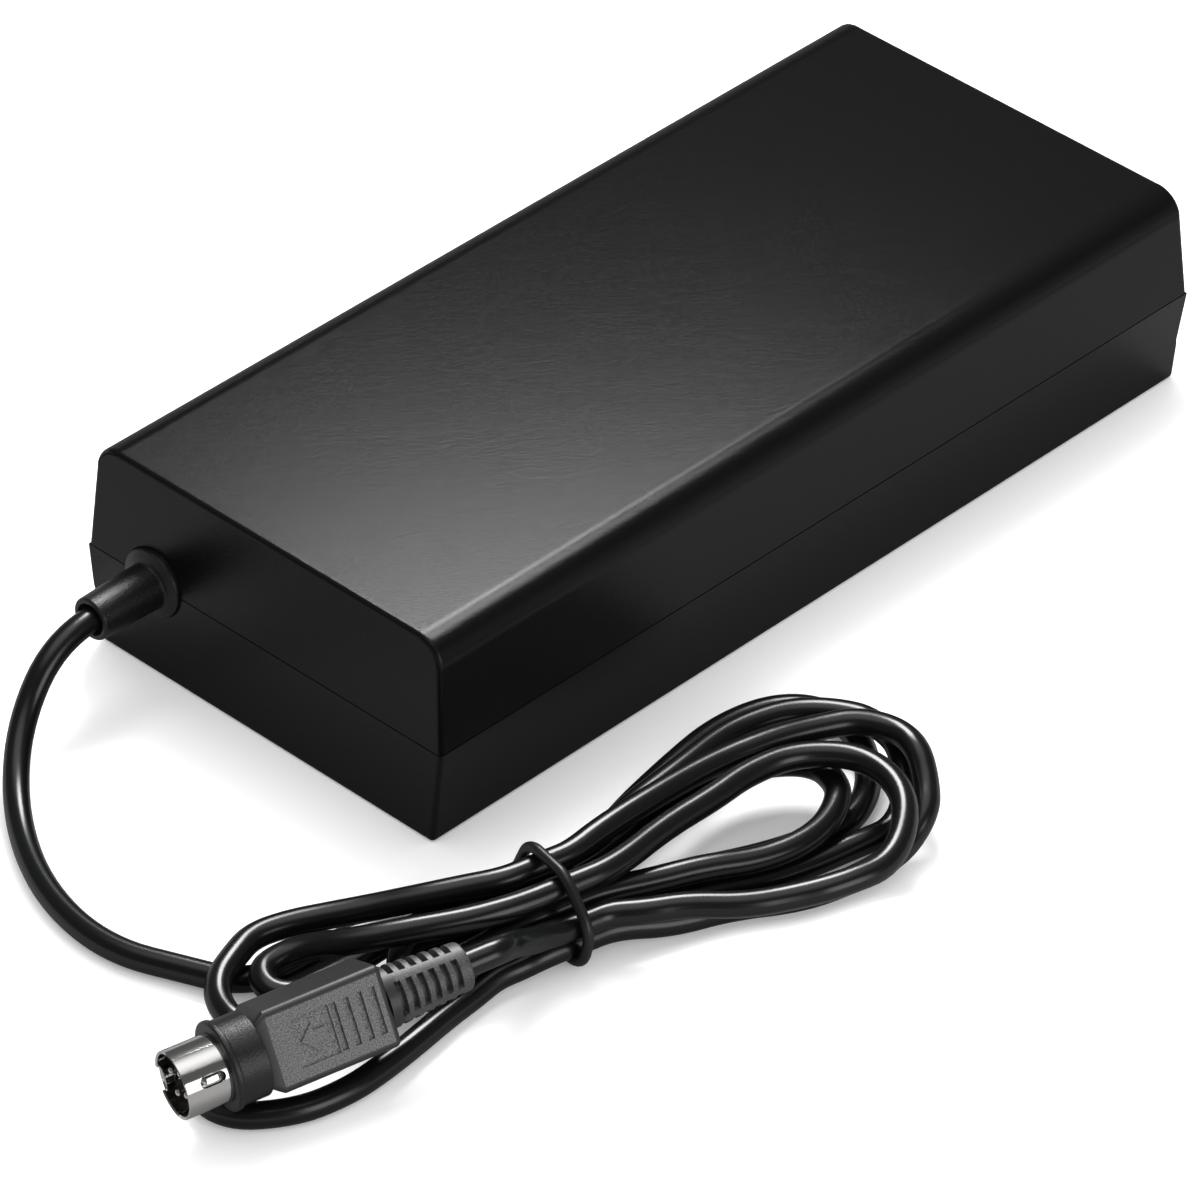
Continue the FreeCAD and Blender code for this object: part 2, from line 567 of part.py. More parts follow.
def inner_parts():
    """The circuit board and what stands on it, the spreader over it, and the leads."""
    top = BOARD_TOP
    parts = {}
    parts["circuit_board"] = box((BOARD_WIDTH, BOARD_LENGTH, BOARD_THICKNESS), (0, BOARD_MIDDLE_Y),
                                 top - BOARD_THICKNESS)

    fuse = rod(2.5, 20.0, (-26.0, 28.0, top + 3.2), (0, 1, 0))
    for y in (30.0, 46.0):
        fuse = fuse.fuse(rod(0.4, 3.4, (-26.0, y, top), (0, 0, 1)))
    parts["fuse"] = fuse

    core_at = (-8.0, 38.0)
    core = rod(9.0, 9.0, (core_at[0], core_at[1], top + 1.7), (0, 0, 1))
    core = core.cut(rod(4.5, 9.0, (core_at[0], core_at[1], top + 1.7), (0, 0, 1)))
    winding = rod(10.6, 12.3, (core_at[0], core_at[1], top), (0, 0, 1))
    winding = winding.cut(rod(3.0, 12.3, (core_at[0], core_at[1], top), (0, 0, 1)))
    winding = winding.cut(box((4.4, 24, 13), core_at, top))
    room = rod(9.05, 9.1, (core_at[0], core_at[1], top + 1.65), (0, 0, 1))
    room = room.cut(rod(4.45, 9.1, (core_at[0], core_at[1], top + 1.65), (0, 0, 1)))
    parts["choke_winding"] = winding.cut(room)
    parts["choke_core"] = core

    parts["line_capacitor"] = box((8.5, 18.0, 14.5), (16.0, 50.0), top)
    discs = [rod(4.2, 3.0, (23.0, 12.0 + 12.0 * i, top + 4.2), (1, 0, 0)) for i in range(2)]
    parts["safety_capacitors"] = Part.makeCompound(discs)

    bridge = box((20.0, 3.6, 15.0), (16.0, 36.0), top + 3.0)
    for i in range(4):
        bridge = bridge.fuse(box((0.9, 0.6, 3.0), (8.5 + 5 * i, 36.0), top))
    parts["bridge_rectifier"] = bridge

    parts["boost_inductor"] = box((20.0, 20.0, 20.0), (-11.0, 16.0), top)
    parts["bulk_capacitor"] = rod(9.0, 34.0, (12.0, -8.0, top + 9.0), (0, 1, 0))

    sink = box((2.0, 56.0, 18.0), (-28.5, -10.0), top)
    sink = sink.fuse(box((4.6, 56.0, 2.0), (-27.2, -10.0), top + 18.0 - 2.0))
    parts["primary_heat_sink"] = sink
    transistors = []
    for y in (6.0, -18.0):
        transistors.append(box((4.4, 10.0, 12.0), (-25.3, y), top + 2.5).fuse(box((0.6, 6.0, 2.5), (-25.3, y), top)))
    parts["primary_transistors"] = Part.makeCompound(transistors)

    core = box((26.0, 22.0, 20.0), (-6.0, -26.0), top)
    throat = box((18.0, 22.0, 13.0), (-6.0, -26.0), top + 3.5)
    post = box((7.0, 22.0, 13.0), (-6.0, -26.0), top + 3.5)
    parts["transformer_core"] = core.cut(throat.cut(post)).removeSplitter()
    winding = box((17.8, 29.0, 12.8), (-6.0, -26.0), top + 3.6).cut(box((7.2, 22.2, 14.0), (-6.0, -26.0), top + 3.0))
    parts["transformer_winding"] = winding

    sink = box((2.0, 42.0, 18.0), (28.5, -40.0), top)
    parts["secondary_heat_sink"] = sink.fuse(box((4.6, 42.0, 2.0), (27.2, -40.0), top + 16.0))
    parts["output_rectifier"] = box((4.4, 10.0, 12.0), (25.3, -36.0), top + 2.5).fuse(
        box((0.6, 6.0, 2.5), (25.3, -36.0), top))
    cans = [rod(5.0, 17.0, (-12.0 + 11.0 * i, -54.0, top), (0, 0, 1)) for i in range(3)]
    parts["output_capacitors"] = Part.makeCompound(cans)
    chips = [box((6.4, 4.6, 3.6), (14.0, -18.0), top), box((4.0, 5.0, 1.6), (-22.0, -46.0), top)]
    parts["control_chips"] = Part.makeCompound(chips)

    ceiling = CASE_HEIGHT - WALL
    sheet = box((59.2, 130.0, 0.3), (0, -2), ceiling - 1.15)
    parts["insulating_sheet"] = sheet
    spreader = box((61.0, 130.0, 0.8), (0, -2), ceiling - 0.82)
    for side in (-1, 1):
        spreader = spreader.fuse(box((0.8, 130.0, 9.0), (side * 30.1, -2), ceiling - 0.02 - 9.0))
    parts["heat_spreader"] = spreader

    leads = []
    back_y = CASE_LENGTH / 2 + 0.3 - INLET_DEPTH - 3
    middle_z = CASE_HEIGHT / 2 - 1.0
    for side in (-1, 1):
        x = side * INLET_PIN_SPACING / 2
        points = [(x, back_y - 0.02, middle_z), (x, back_y - 4.5, middle_z), (x, back_y - 6.0, middle_z - 5.0),
                  (x, back_y - 6.2, top + 0.02)]
        edges, radii = rounded_path(points)
        leads.append(tube(edges, 0.9, V(*points[0]), V(0, -1, 0)))
    parts["inlet_leads"] = Part.makeCompound(leads)

    tail_end = -CASE_LENGTH / 2 + 9.0
    tail_start = -CASE_LENGTH / 2 - GLAND_SLEEVE_LENGTH + 1.02
    jacket = rod(CORD_RADIUS, tail_end - tail_start, (GLAND_X, tail_start, PARTING_HEIGHT), (0, 1, 0))
    wires = []
    for side in (-1, 1):
        x = GLAND_X + side * 0.95
        points = [(x, tail_end - 0.5, PARTING_HEIGHT), (x, tail_end + 2.2, PARTING_HEIGHT),
                  (x, tail_end + 3.8, PARTING_HEIGHT - 4.5), (x, tail_end + 4.0, top + 0.02)]
        edges, radii = rounded_path(points)
        wires.append(tube(edges, 0.8, V(*points[0]), V(0, 1, 0)))
    parts["cord_tail"] = jacket.fuse(wires)
    return parts


parts = {}
parts["top_cover"], parts["bottom_case"] = case_halves()
housing, pins = inlet_parts()
parts["inlet_housing"] = housing
parts["inlet_line_pin"], parts["inlet_neutral_pin"], parts["inlet_earth_pin"] = pins
parts.update(inner_parts())
parts["case_strain_relief"] = gland()

path = free_stretch_points()
edges, radii = rounded_path(path)
parts["cord_free_stretch"] = tube(edges, CORD_RADIUS, V(*path[0]), V(0, -1, 0))
length = sum(edge.Length for edge in edges)
print("free stretch: length %.1f, arc radii %s" % (length, ", ".join("%.1f" % r for r in radii)))
print("free stretch: volume %.0f against %.0f" % (parts["cord_free_stretch"].Volume, length * pi * CORD_RADIUS ** 2))

edges, points, smallest = hank_path()
start = edges[0]
direction = start.tangentAt(start.FirstParameter)
parts["cord_hank"] = tube(edges, CORD_RADIUS, start.valueAt(start.FirstParameter), direction)
length = sum(edge.Length for edge in edges)
print("hank: length %.1f, smallest radius %.2f, least gap %.2f" % (length, smallest, least_gap(points, CORD_DIAMETER)))
print("hank: volume %.0f against %.0f" % (parts["cord_hank"].Volume, length * pi * CORD_RADIUS ** 2))
parts["tie_ring"] = tie_ring()

place = plug_placement()
for name, shape in plug_parts().items():
    shape.Placement = place.multiply(shape.Placement)
    parts[name] = shape

os.makedirs("parts", exist_ok=True)
for name, shape in parts.items():
    shape.exportStep("parts/%s.step" % name)
    print("%-20s solids %d valid %s" % (name, len(shape.Solids), shape.isValid()))
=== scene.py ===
from math import atan2, cos, degrees, pi, radians, sin, tan
import bmesh
import bpy
from mathutils import Matrix, Vector


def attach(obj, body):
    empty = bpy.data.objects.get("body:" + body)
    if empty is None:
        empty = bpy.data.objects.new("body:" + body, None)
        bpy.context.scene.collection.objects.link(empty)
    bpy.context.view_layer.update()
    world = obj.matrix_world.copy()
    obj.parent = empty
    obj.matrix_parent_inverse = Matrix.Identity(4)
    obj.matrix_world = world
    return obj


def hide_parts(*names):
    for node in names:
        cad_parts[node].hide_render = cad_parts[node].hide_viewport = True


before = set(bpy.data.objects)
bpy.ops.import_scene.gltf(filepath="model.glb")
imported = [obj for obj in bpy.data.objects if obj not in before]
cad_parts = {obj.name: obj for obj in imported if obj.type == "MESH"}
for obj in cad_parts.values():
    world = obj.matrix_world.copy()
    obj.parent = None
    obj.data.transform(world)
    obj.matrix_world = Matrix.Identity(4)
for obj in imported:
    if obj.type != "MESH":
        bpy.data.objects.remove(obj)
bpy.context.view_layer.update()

# Camera. A long lens looks down on the near corner of the case from the right, so the end face
# with the cord, the long side and the top all show.
MM = 0.001
CAMERA_PLACE = Vector((705.38, -741.12, 754.63)) * MM
CAMERA_AZIMUTH = radians(43.9835)
CAMERA_ELEVATION = radians(37.0512)
CAMERA_ROLL = radians(0.2635)
FRAME_PIXELS = 1200
FOCAL_PIXELS = 8539.79
SENSOR_WIDTH = 36.0


def put(name, data):
    """Adds an object that holds that data to the scene."""
    made = bpy.data.objects.new(name, data)
    bpy.context.scene.collection.objects.link(made)
    return made


back = Vector((sin(CAMERA_AZIMUTH) * cos(CAMERA_ELEVATION), -cos(CAMERA_AZIMUTH) * cos(CAMERA_ELEVATION),
               sin(CAMERA_ELEVATION)))
level = (-back).cross(Vector((0, 0, 1))).normalized()
upright = level.cross(-back)
right = level * cos(CAMERA_ROLL) + upright * sin(CAMERA_ROLL)
up = upright * cos(CAMERA_ROLL) - level * sin(CAMERA_ROLL)
camera_data = bpy.data.cameras.new("studio_camera")
camera_data.sensor_width = SENSOR_WIDTH
camera_data.lens = SENSOR_WIDTH * FOCAL_PIXELS / FRAME_PIXELS
camera_data.clip_start = 0.05
camera_data.clip_end = 20
camera = put("studio_camera", camera_data)
camera.matrix_world = Matrix.Translation(CAMERA_PLACE) @ Matrix((right, up, back)).transposed().to_4x4()
bpy.context.scene.camera = camera

# Output cord. A limp two-core lead in a soft black PVC jacket, extruded round and satin smooth. It
# comes out of the case level, drops to the ground and is wound to and fro into a hank.
CORD_DIAMETER = 3.9 * MM
TIE_X = 62.51
TIE_Y = -83.74
TIE_HEADING = radians(77.0)
TIE_HALF_WIDTH = 3.0
PLUG_TAIL = (-21.3, 10.1, 13.1)
PLUG_TURN = 2.8
PLUG_SLOPE = -0.058
TAIL_LEAD = 3.9
TAIL_OVERLAP = 0.2
END_REACH = 2.4 * MM
SMALLEST_BEND = 0.01

# The stretch from the case to the hank, in millimetres of the shared frame.
FREE_STRETCH = [(-22.4, -91.05, 16.5), (-22.4, -98.7, 16.5), (-20.7, -108.0, 7.2), (-11.0, -118.0, 2.0),
                (4.5, -127.0, 2.0), (20.07, -129.52, 2.0)]

# Where the strands cross the tie: across it and their height, bottom row first.
CELLS = {
    "entry": (-8.2, 3.65), "low_a": (-4.1, 3.65), "low_b": (0.1, 3.65), "low_c": (4.5, 3.65),
    "mid_a": (-7.1, 7.4), "mid_b": (-3.1, 7.45), "mid_c": (0.9, 7.45), "exit": (5.6, 7.45),
    "high_a": (-4.6, 11.1), "high_b": (1.45, 11.35),
}

# Places on the hank seen from its tie: along it, across it, height, heading and slope.
HANK_ENTRY = [(-44.8, -18.2, 2, 54), (-35.5, -13.9, 2, -4), (-25, -14.9, 2, -1), (-14, -12.9, 2, 14)]
HALF_LOOPS = [
    ("low_a", [(26.8, -19.5, 2.4, -24), (51, -27, 2, 0), (60.8, -18, 2, 90), (52, -1, 2, 142),
               (40, 1.4, 2, 184), (18, -2.3, 2.1, 187)]),
    ("high_a", [(-18, -4.7, 2.1, 180), (-28, -4.2, 2, 176), (-40, 0.2, 2.6, 176), (-49.6, -5.6, 6.2, 270),
                (-44.9, -13.9, 6.4, 325), (-36, -17.4, 6.8, 6, 0.04), (-24.7, -13.8, 7.7, 25, 0.13),
                (-13.4, -7.9, 10.1, 22, 0.12)]),
    ("low_c", [(14, -6.7, 11.7, -13), (40, -10.9, 11.2, 0), (53.5, -9.3, 10.8, 14), (60.3, -1.2, 10.3, 90),
               (57.8, 7, 7, 122, -0.3), (50, 11.5, 3.2, 160), (38, 12, 2, 184), (19.1, 7.3, 2.1, 189)]),
    ("mid_a", [(-10, 3.9, 2.7, 180), (-18.6, 5.6, 2, 163), (-31.7, 10.2, 2, 161), (-45, 13, 2, 180),
               (-59, 3.5, 2, 270), (-49.5, -6.4, 2, -12), (-33, -8.8, 2.2, 0, 0.06),
               (-18, -8.6, 5.2, 5, 0.17)]),
    ("low_b", [(26, -15, 6.8, -17), (47.5, -20.6, 6.4, 0), (56.8, -17.6, 6.3, 38), (61.6, -9.8, 6.3, 90),
               (48.5, 6.2, 2.3, 180), (36, 5.9, 2, 183), (18, 2.5, 2.3, 187)]),
    ("mid_b", [(-10, -0.5, 2.6, 180), (-19.3, 1.1, 2, 176), (-23.9, -1.5, 4.6, 270, 0.8),
               (-19.5, -4.5, 7.2, 0)]),
    ("mid_c", [(26, -9.1, 6.9, -14), (38, -12.2, 6.5, 0), (49, -4.4, 6.4, 90), (43.5, 3.4, 6.3, 147),
               (34, 5.9, 6.3, 182), (18.4, 3, 7, 190)]),
    ("high_b", [(-18, 2.6, 7.3, 180), (-27, 1.5, 7.4, 193, -0.06), (-38.8, -4.3, 5.9, 202, -0.05),
                (-42.2, -7.7, 6.6, 270, 0.2), (-38.8, -10.8, 7.4, 3, 0.15), (-26.2, -3.6, 11, 24, 0.13),
                (-10.9, 1, 11.5, 9)]),
    ("exit", [(25.7, -3.8, 11, -11), (40, -6.6, 11, 0), (52.8, 4, 10.9, 90), (38.5, 18.6, 8.4, 180),
              (25.8, 15.4, 7.5, 197), (11.6, 8.9, 7.8, 198)]),
]

# The lead from the tie up to the plug's tail.
LEAD = [(-TIE_HALF_WIDTH, 5.7, 7.85, 175, 0.2), (-10, 7.6, 10.4, 166, 0.46)]


def from_tie(along, across, height):
    """A place that is given in mm from the tie, in metres of the shared frame."""
    return Vector((TIE_X + along * cos(TIE_HEADING) + across * sin(TIE_HEADING),
                   TIE_Y + along * sin(TIE_HEADING) - across * cos(TIE_HEADING), height)) * MM


def way(heading, slope=0.0):
    """The direction of a strand whose heading is measured from the hank's own line."""
    turn = radians(heading)
    flat = from_tie(cos(turn), sin(turn), 0) - from_tie(0, 0, 0)
    return (flat + Vector((0, 0, slope * MM))).normalized()


places = []


def lay(spots):
    """Adds places that the cord passes, each with the direction it has there."""
    for along, across, height, heading, *slope in spots:
        places.append((from_tie(along, across, height), way(heading, *slope)))


lay(HANK_ENTRY)
lay([(-TIE_HALF_WIDTH, *CELLS["entry"], 0)])
side = -1
cell = "entry"
for following, half_loop in HALF_LOOPS:
    side = -side
    lay([(side * TIE_HALF_WIDTH, *CELLS[cell], 90 - 90 * side)])
    lay(half_loop)
    lay([(side * TIE_HALF_WIDTH, *CELLS[following], 90 + 90 * side)])
    cell = following
lay(LEAD)
tail_way = way(180 + PLUG_TURN, PLUG_SLOPE)
places.append((from_tie(*PLUG_TAIL) - tail_way * TAIL_LEAD * MM, tail_way))

# Each place gets one control point before it and one after it, so the line touches it in passing.
controls = [Vector(p) * MM for p in FREE_STRETCH]
for i, (place, direction) in enumerate(places):
    for neighbour, sign in ((i - 1, -1), (i + 1, 1)):
        if 0 <= neighbour < len(places):
            other, other_way = places[neighbour]
            bend = max(direction.angle(other_way), SMALLEST_BEND)
            reach = (other - place).length * tan(bend / 4) / (2 * sin(bend / 2))
        else:
            reach = END_REACH
        controls.append(place + direction * reach * sign)
controls.append(from_tie(*PLUG_TAIL) + tail_way * TAIL_OVERLAP * MM)

# Every point carries the cord's radius in metres, so the bevel itself is one metre deep.
cord_curve = bpy.data.curves.new("output_cord", "CURVE")
cord_curve.dimensions = "3D"
cord_curve.bevel_depth = 1.0
cord_curve.bevel_resolution = 8
cord_curve.resolution_u = 8
cord_curve.use_fill_caps = True
spline = cord_curve.splines.new("NURBS")
spline.points.add(len(controls) - 1)
for point, place in zip(spline.points, controls):
    point.co = (*place, 1)
    point.radius = CORD_DIAMETER / 2
spline.order_u = 3
spline.use_endpoint_u = True
output_cord = put("output_cord", cord_curve)
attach(output_cord, "adapter")
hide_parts("cord_free_stretch", "cord_hank")


def linear(code):
    """A colour written as sRGB hex, in the linear values that a shader takes."""
    parts = [int(code[i:i + 2], 16) / 255 for i in (1, 3, 5)]
    return (*[p / 12.92 if p <= 0.04045 else ((p + 0.055) / 1.055) ** 2.4 for p in parts], 1.0)


def add(material, kind, settings=(), **links):
    """Adds a node with its settings, and links its inputs to the outputs that are given."""
    node = material.node_tree.nodes.new(kind)
    for key, value in dict(settings).items():
        if isinstance(key, int) or key in node.inputs:
            node.inputs[key].default_value = value
        else:
            setattr(node, key, value)
    for key, output in links.items():
        name = key.replace("_", " ")
        material.node_tree.links.new(output, node.inputs[int(name[1:]) if name[1:].isdigit() else name])
    return node


def new_material(name, colour, roughness, metallic=0.0, specular=0.5):
    """A material with one plain finish, and its shader."""
    material = bpy.data.materials.new(name)
    material.use_nodes = True
    shader = material.node_tree.nodes["Principled BSDF"]
    shader.inputs["Base Color"].default_value = linear(colour)
    shader.inputs["Roughness"].default_value = roughness
    shader.inputs["Metallic"].default_value = metallic
    shader.inputs["Specular IOR Level"].default_value = specular
    return material, shader


def grain(material, shader, pitch, depth, harshness=0.5):
    """Roughens the surface with moulded grain of that pitch and depth, in metres."""
    place = add(material, "ShaderNodeTexCoord")
    noise = add(material, "ShaderNodeTexNoise", {"Scale": 1 / pitch, "Detail": 2.0, "Roughness": harshness},
                Vector=place.outputs["Object"])
    bump = add(material, "ShaderNodeBump", {"Strength": 1.0, "Distance": depth}, Height=noise.outputs["Fac"])
    material.node_tree.links.new(bump.outputs["Normal"], shader.inputs["Normal"])


# The jacket has long, even highlights that waver a little where the extruded PVC isn't quite round.
pvc, pvc_shader = new_material("black_pvc_jacket", "#0b0c0c", 0.25)
grain(pvc, pvc_shader, pitch=9 * MM, depth=0.05 * MM, harshness=0.2)
cord_curve.materials.append(pvc)

# Tie ring. A black rubber ring of round section that holds the ten strands together. It is moulded
# in one piece and stretched over the hank by hand.
RING_DIAMETER = 1.64 * MM
RING_BEND = 4.5
RING_SLACK = 0.38
RING_CLEARANCE = 0.05
RING_CORNERS = ["entry", "low_c", "exit", "high_b", "high_a"]


def rounded(corners, steps=6, closed=True):
    """An outline's points, where each corner (across, along, radius) is an arc of that radius."""
    points = []
    last = len(corners) - 1
    for i, (across, along, radius) in enumerate(corners):
        here = Vector((across, along))
        if radius == 0 or (not closed and i in (0, last)):
            points.append(here)
            continue
        before = (Vector(corners[i - 1][:2]) - here).normalized()
        after = (Vector(corners[(i + 1) % len(corners)][:2]) - here).normalized()
        half = before.angle(after) / 2
        centre = here + (before + after).normalized() * radius / sin(half)
        start = here + before * radius / tan(half) - centre
        finish = here + after * radius / tan(half) - centre
        turn = pi - 2 * half
        for k in range(steps + 1):
            share = k / steps
            swing = start * sin((1 - share) * turn) + finish * sin(share * turn)
            points.append(centre + swing / sin(turn))
    return points


ring_offset = (CORD_DIAMETER + RING_DIAMETER) / 2 / MM + RING_SLACK
ring_floor = RING_DIAMETER / 2 / MM + RING_CLEARANCE
ring_outline = []
for i, name in enumerate(RING_CORNERS):
    here = Vector(CELLS[name])
    before = (Vector(CELLS[RING_CORNERS[i - 1]]) - here).normalized()
    after = (Vector(CELLS[RING_CORNERS[(i + 1) % len(RING_CORNERS)]]) - here).normalized()
    grown = here - (before + after).normalized() * ring_offset / sin(before.angle(after) / 2)
    ring_outline.append((grown.x, max(grown.y, ring_floor), RING_BEND))
ring_curve = bpy.data.curves.new("tie_ring", "CURVE")
ring_curve.dimensions = "3D"
ring_curve.bevel_depth = 1.0
ring_curve.bevel_resolution = 6
ring_line = ring_curve.splines.new("POLY")
ring_points = rounded(ring_outline, 10)
ring_line.points.add(len(ring_points) - 1)
for point, spot in zip(ring_line.points, ring_points):
    point.co = (*from_tie(0, spot.x, spot.y), 1)
    point.radius = RING_DIAMETER / 2
ring_line.use_cyclic_u = True
tie_rubber, tie_shader = new_material("tie_rubber", "#131313", 0.36)
grain(tie_rubber, tie_shader, pitch=0.6 * MM, depth=0.03 * MM)
ring_curve.materials.append(tie_rubber)
ring_piece = put("rubber_tie_ring", ring_curve)
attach(ring_piece, "adapter")
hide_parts("tie_ring")

# Top cover. The upper half of the brick, injection moulded in black PC/ABS with drafted walls and long
# rounded edges, spark eroded all over. It is ultrasonically welded to the bottom along a tongue joint.
COVER_TOP = 34.6 * MM
COVER_RIM = 16.6 * MM
RIM_HALF = (36.0 * MM, 79.55 * MM)
TOP_HALF = (34.68 * MM, 78.28 * MM)
TOP_EDGE_RADIUS = 4.2 * MM
END_EDGE_RADIUS = 0.8 * MM
WALL = 2.3 * MM
INLET_OPENING = (28.6 * MM, 21.0 * MM, 17.3 * MM)
GLAND_X = -22.4 * MM
GLAND_HEIGHT = 16.5 * MM
GLAND_HOLE_RADIUS = 5.65 * MM
SIDE_ZONE = 30 * MM
SHARP_ANGLE = radians(32)
X_AXIS = Vector((1, 0, 0))
Y_AXIS = Vector((0, 1, 0))
Z_AXIS = Vector((0, 0, 1))


def drafted_box(low_half, low_z, high_half, high_z):
    """A box whose lower and upper faces differ in size."""
    mesh = bmesh.new()
    for vert in bmesh.ops.create_cube(mesh, size=2.0)["verts"]:
        half, height = (high_half, high_z) if vert.co.z > 0 else (low_half, low_z)
        vert.co = Vector((vert.co.x * half[0], vert.co.y * half[1], height))
    return mesh


def soften(mesh, pick, radius, segments):
    """Rounds the picked edges."""
    bmesh.ops.bevel(mesh, geom=[e for e in mesh.edges if pick(e)], affect="EDGES", offset=radius,
                    segments=segments, profile=0.5, material=-1, offset_type="OFFSET", clamp_overlap=False)


def above(edge, height):
    """Whether both ends of the edge lie above that height."""
    return all(v.co.z > height for v in edge.verts)


def run(edge, axis):
    """How far the edge runs along that axis."""
    return abs(edge.verts[0].co[axis] - edge.verts[1].co[axis])


def verts_of(made):
    """The vertices among the geometry that an operator made."""
    return [g for g in made["geom"] if isinstance(g, bmesh.types.BMVert)]


def window(mesh, faces, outline, across, along):
    """Cuts those faces along a convex outline on the two axes, and returns the faces inside it."""
    middle = sum(outline, Vector((0, 0))) / len(outline)
    inside = list(faces)
    for i, end in enumerate(outline):
        start = outline[i - 1]
        if (end - start).length < 1e-9:
            continue
        out = Vector((end.y - start.y, start.x - end.x)).normalized()
        if out.dot(start - middle) < 0:
            out = -out
        point = across * start.x + along * start.y
        normal = across * out.x + along * out.y
        geometry = set(inside)
        for face in inside:
            geometry.update(face.edges, face.verts)
        cut = bmesh.ops.bisect_plane(mesh, geom=list(geometry), plane_co=point, plane_no=normal, dist=1e-8)
        inside = [g for g in cut["geom"] if isinstance(g, bmesh.types.BMFace)
                  and (g.calc_center_median() - point).dot(normal) < 0]
    return inside


def open_window(mesh, pick, outline, across, along):
    """Cuts a hole of that outline through the faces that are picked."""
    found = window(mesh, [f for f in mesh.faces if pick(f)], outline, across, along)
    bmesh.ops.delete(mesh, geom=found, context="FACES")


def rectangle(low, high, radius=0.0, steps=4):
    """The outline of a rectangle from one corner to the other."""
    return rounded([(low[0], low[1], radius), (high[0], low[1], radius), (high[0], high[1], radius),
                    (low[0], high[1], radius)], steps)


def circle(across, along, radius, steps=32):
    """The outline of a circle about that middle."""
    return [Vector((across + radius * cos(2 * pi * i / steps), along + radius * sin(2 * pi * i / steps)))
            for i in range(steps)]


def thicken(mesh, depth):
    """Gives an open skin that thickness, inwards."""
    bmesh.ops.recalc_face_normals(mesh, faces=mesh.faces)
    bmesh.ops.solidify(mesh, geom=mesh.faces[:], thickness=depth)


def piece(name, mesh, material, body, nodes):
    """Makes the finished piece that stands for those CAD parts."""
    bmesh.ops.remove_doubles(mesh, verts=mesh.verts, dist=1e-7)
    bmesh.ops.recalc_face_normals(mesh, faces=mesh.faces)
    data = bpy.data.meshes.new(name)
    mesh.to_mesh(data)
    mesh.free()
    data.shade_smooth()
    data.set_sharp_from_angle(angle=SHARP_ANGLE)
    data.materials.append(material)
    made = put(name, data)
    even = made.modifiers.new("even_shading", "WEIGHTED_NORMAL")
    even.keep_sharp = True
    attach(made, body)
    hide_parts(*nodes)
    return made


def case_openings(mesh):
    """Cuts the inlet opening and the strain relief's hole out of the two end walls."""
    width, height, middle = INLET_OPENING
    inlet_hole = rectangle((-width / 2, middle - height / 2), (width / 2, middle + height / 2))
    gland_hole = circle(GLAND_X, GLAND_HEIGHT, GLAND_HOLE_RADIUS)
    open_window(mesh, lambda f: f.normal.y > 0.9, inlet_hole, X_AXIS, Z_AXIS)
    open_window(mesh, lambda f: f.normal.y < -0.9, gland_hole, X_AXIS, Z_AXIS)


def rim_joint(mesh, rim_z, inset, rise):
    """Draws a tongue or a groove along the middle of a wall's rim."""
    rim = [f for f in mesh.faces
           if abs(f.normal.z) > 0.9 and abs(f.calc_center_median().z - rim_z) < 0.1 * MM]
    bmesh.ops.inset_region(mesh, faces=rim, thickness=inset, use_even_offset=True, use_boundary=True)
    moved = bmesh.ops.extrude_face_region(mesh, geom=rim)
    bmesh.ops.translate(mesh, vec=(0, 0, rise), verts=verts_of(moved))
    bmesh.ops.delete(mesh, geom=[f for f in rim if f.is_valid], context="FACES")


cover = drafted_box(RIM_HALF, COVER_RIM, TOP_HALF, COVER_TOP)
bmesh.ops.recalc_face_normals(cover, faces=cover.faces)
top_corner = pi / 2 + (RIM_HALF[0] - TOP_HALF[0]) / (COVER_TOP - COVER_RIM)
soften(cover, lambda e: above(e, COVER_TOP - MM) and run(e, 1) > MM,
       TOP_EDGE_RADIUS * tan((pi - top_corner) / 2), 24)
bmesh.ops.recalc_face_normals(cover, faces=cover.faces)
bmesh.ops.delete(cover, geom=[f for f in cover.faces if f.normal.z < -0.9], context="FACES")
case_openings(cover)
thicken(cover, WALL)
rim_joint(cover, COVER_RIM, inset=0.5 * MM, rise=1.2 * MM)
soften(cover, lambda e: all(abs(v.co.y) > TOP_HALF[1] - 0.2 * MM for v in e.verts)
       and any(v.co.z > COVER_RIM + MM for v in e.verts)
       and (all(abs(v.co.x) > SIDE_ZONE for v in e.verts) or above(e, COVER_TOP - MM)),
       END_EDGE_RADIUS, 4)
# The case's black is nearly neutral, with a satin sheen that the spark grain breaks into fine specks.
case_black, case_shader = new_material("sparked_case_plastic", "#090909", 0.22, specular=0.24)
grain(case_black, case_shader, pitch=0.3 * MM, depth=0.045 * MM, harshness=0.75)
piece("case_top_cover", cover, case_black, "adapter", ["top_cover"])

# Bottom case. The lower half in the same material and grain, with sides that lean in towards the foot.
# Its rim carries the tongue of the welded joint, so only a fine line shows between the halves.
BOTTOM_HALF = (34.2 * MM, 79.55 * MM)
BOTTOM_RIM = 16.4 * MM
CORNER_ZONE = (34 * MM, 79 * MM)

bottom = drafted_box(BOTTOM_HALF, 0.0, RIM_HALF, BOTTOM_RIM)
bmesh.ops.recalc_face_normals(bottom, faces=bottom.faces)
bmesh.ops.delete(bottom, geom=[f for f in bottom.faces if f.normal.z > 0.9], context="FACES")
case_openings(bottom)
thicken(bottom, WALL)
rim_joint(bottom, BOTTOM_RIM, inset=0.6 * MM, rise=1.1 * MM)
soften(bottom, lambda e: any(v.co.z < MM for v in e.verts) and all(
    v.co.z < MM or (abs(v.co.x) > CORNER_ZONE[0] and abs(v.co.y) > CORNER_ZONE[1]) for v in e.verts),
    END_EDGE_RADIUS, 4)
piece("case_bottom", bottom, case_black, "adapter", ["bottom_case"])

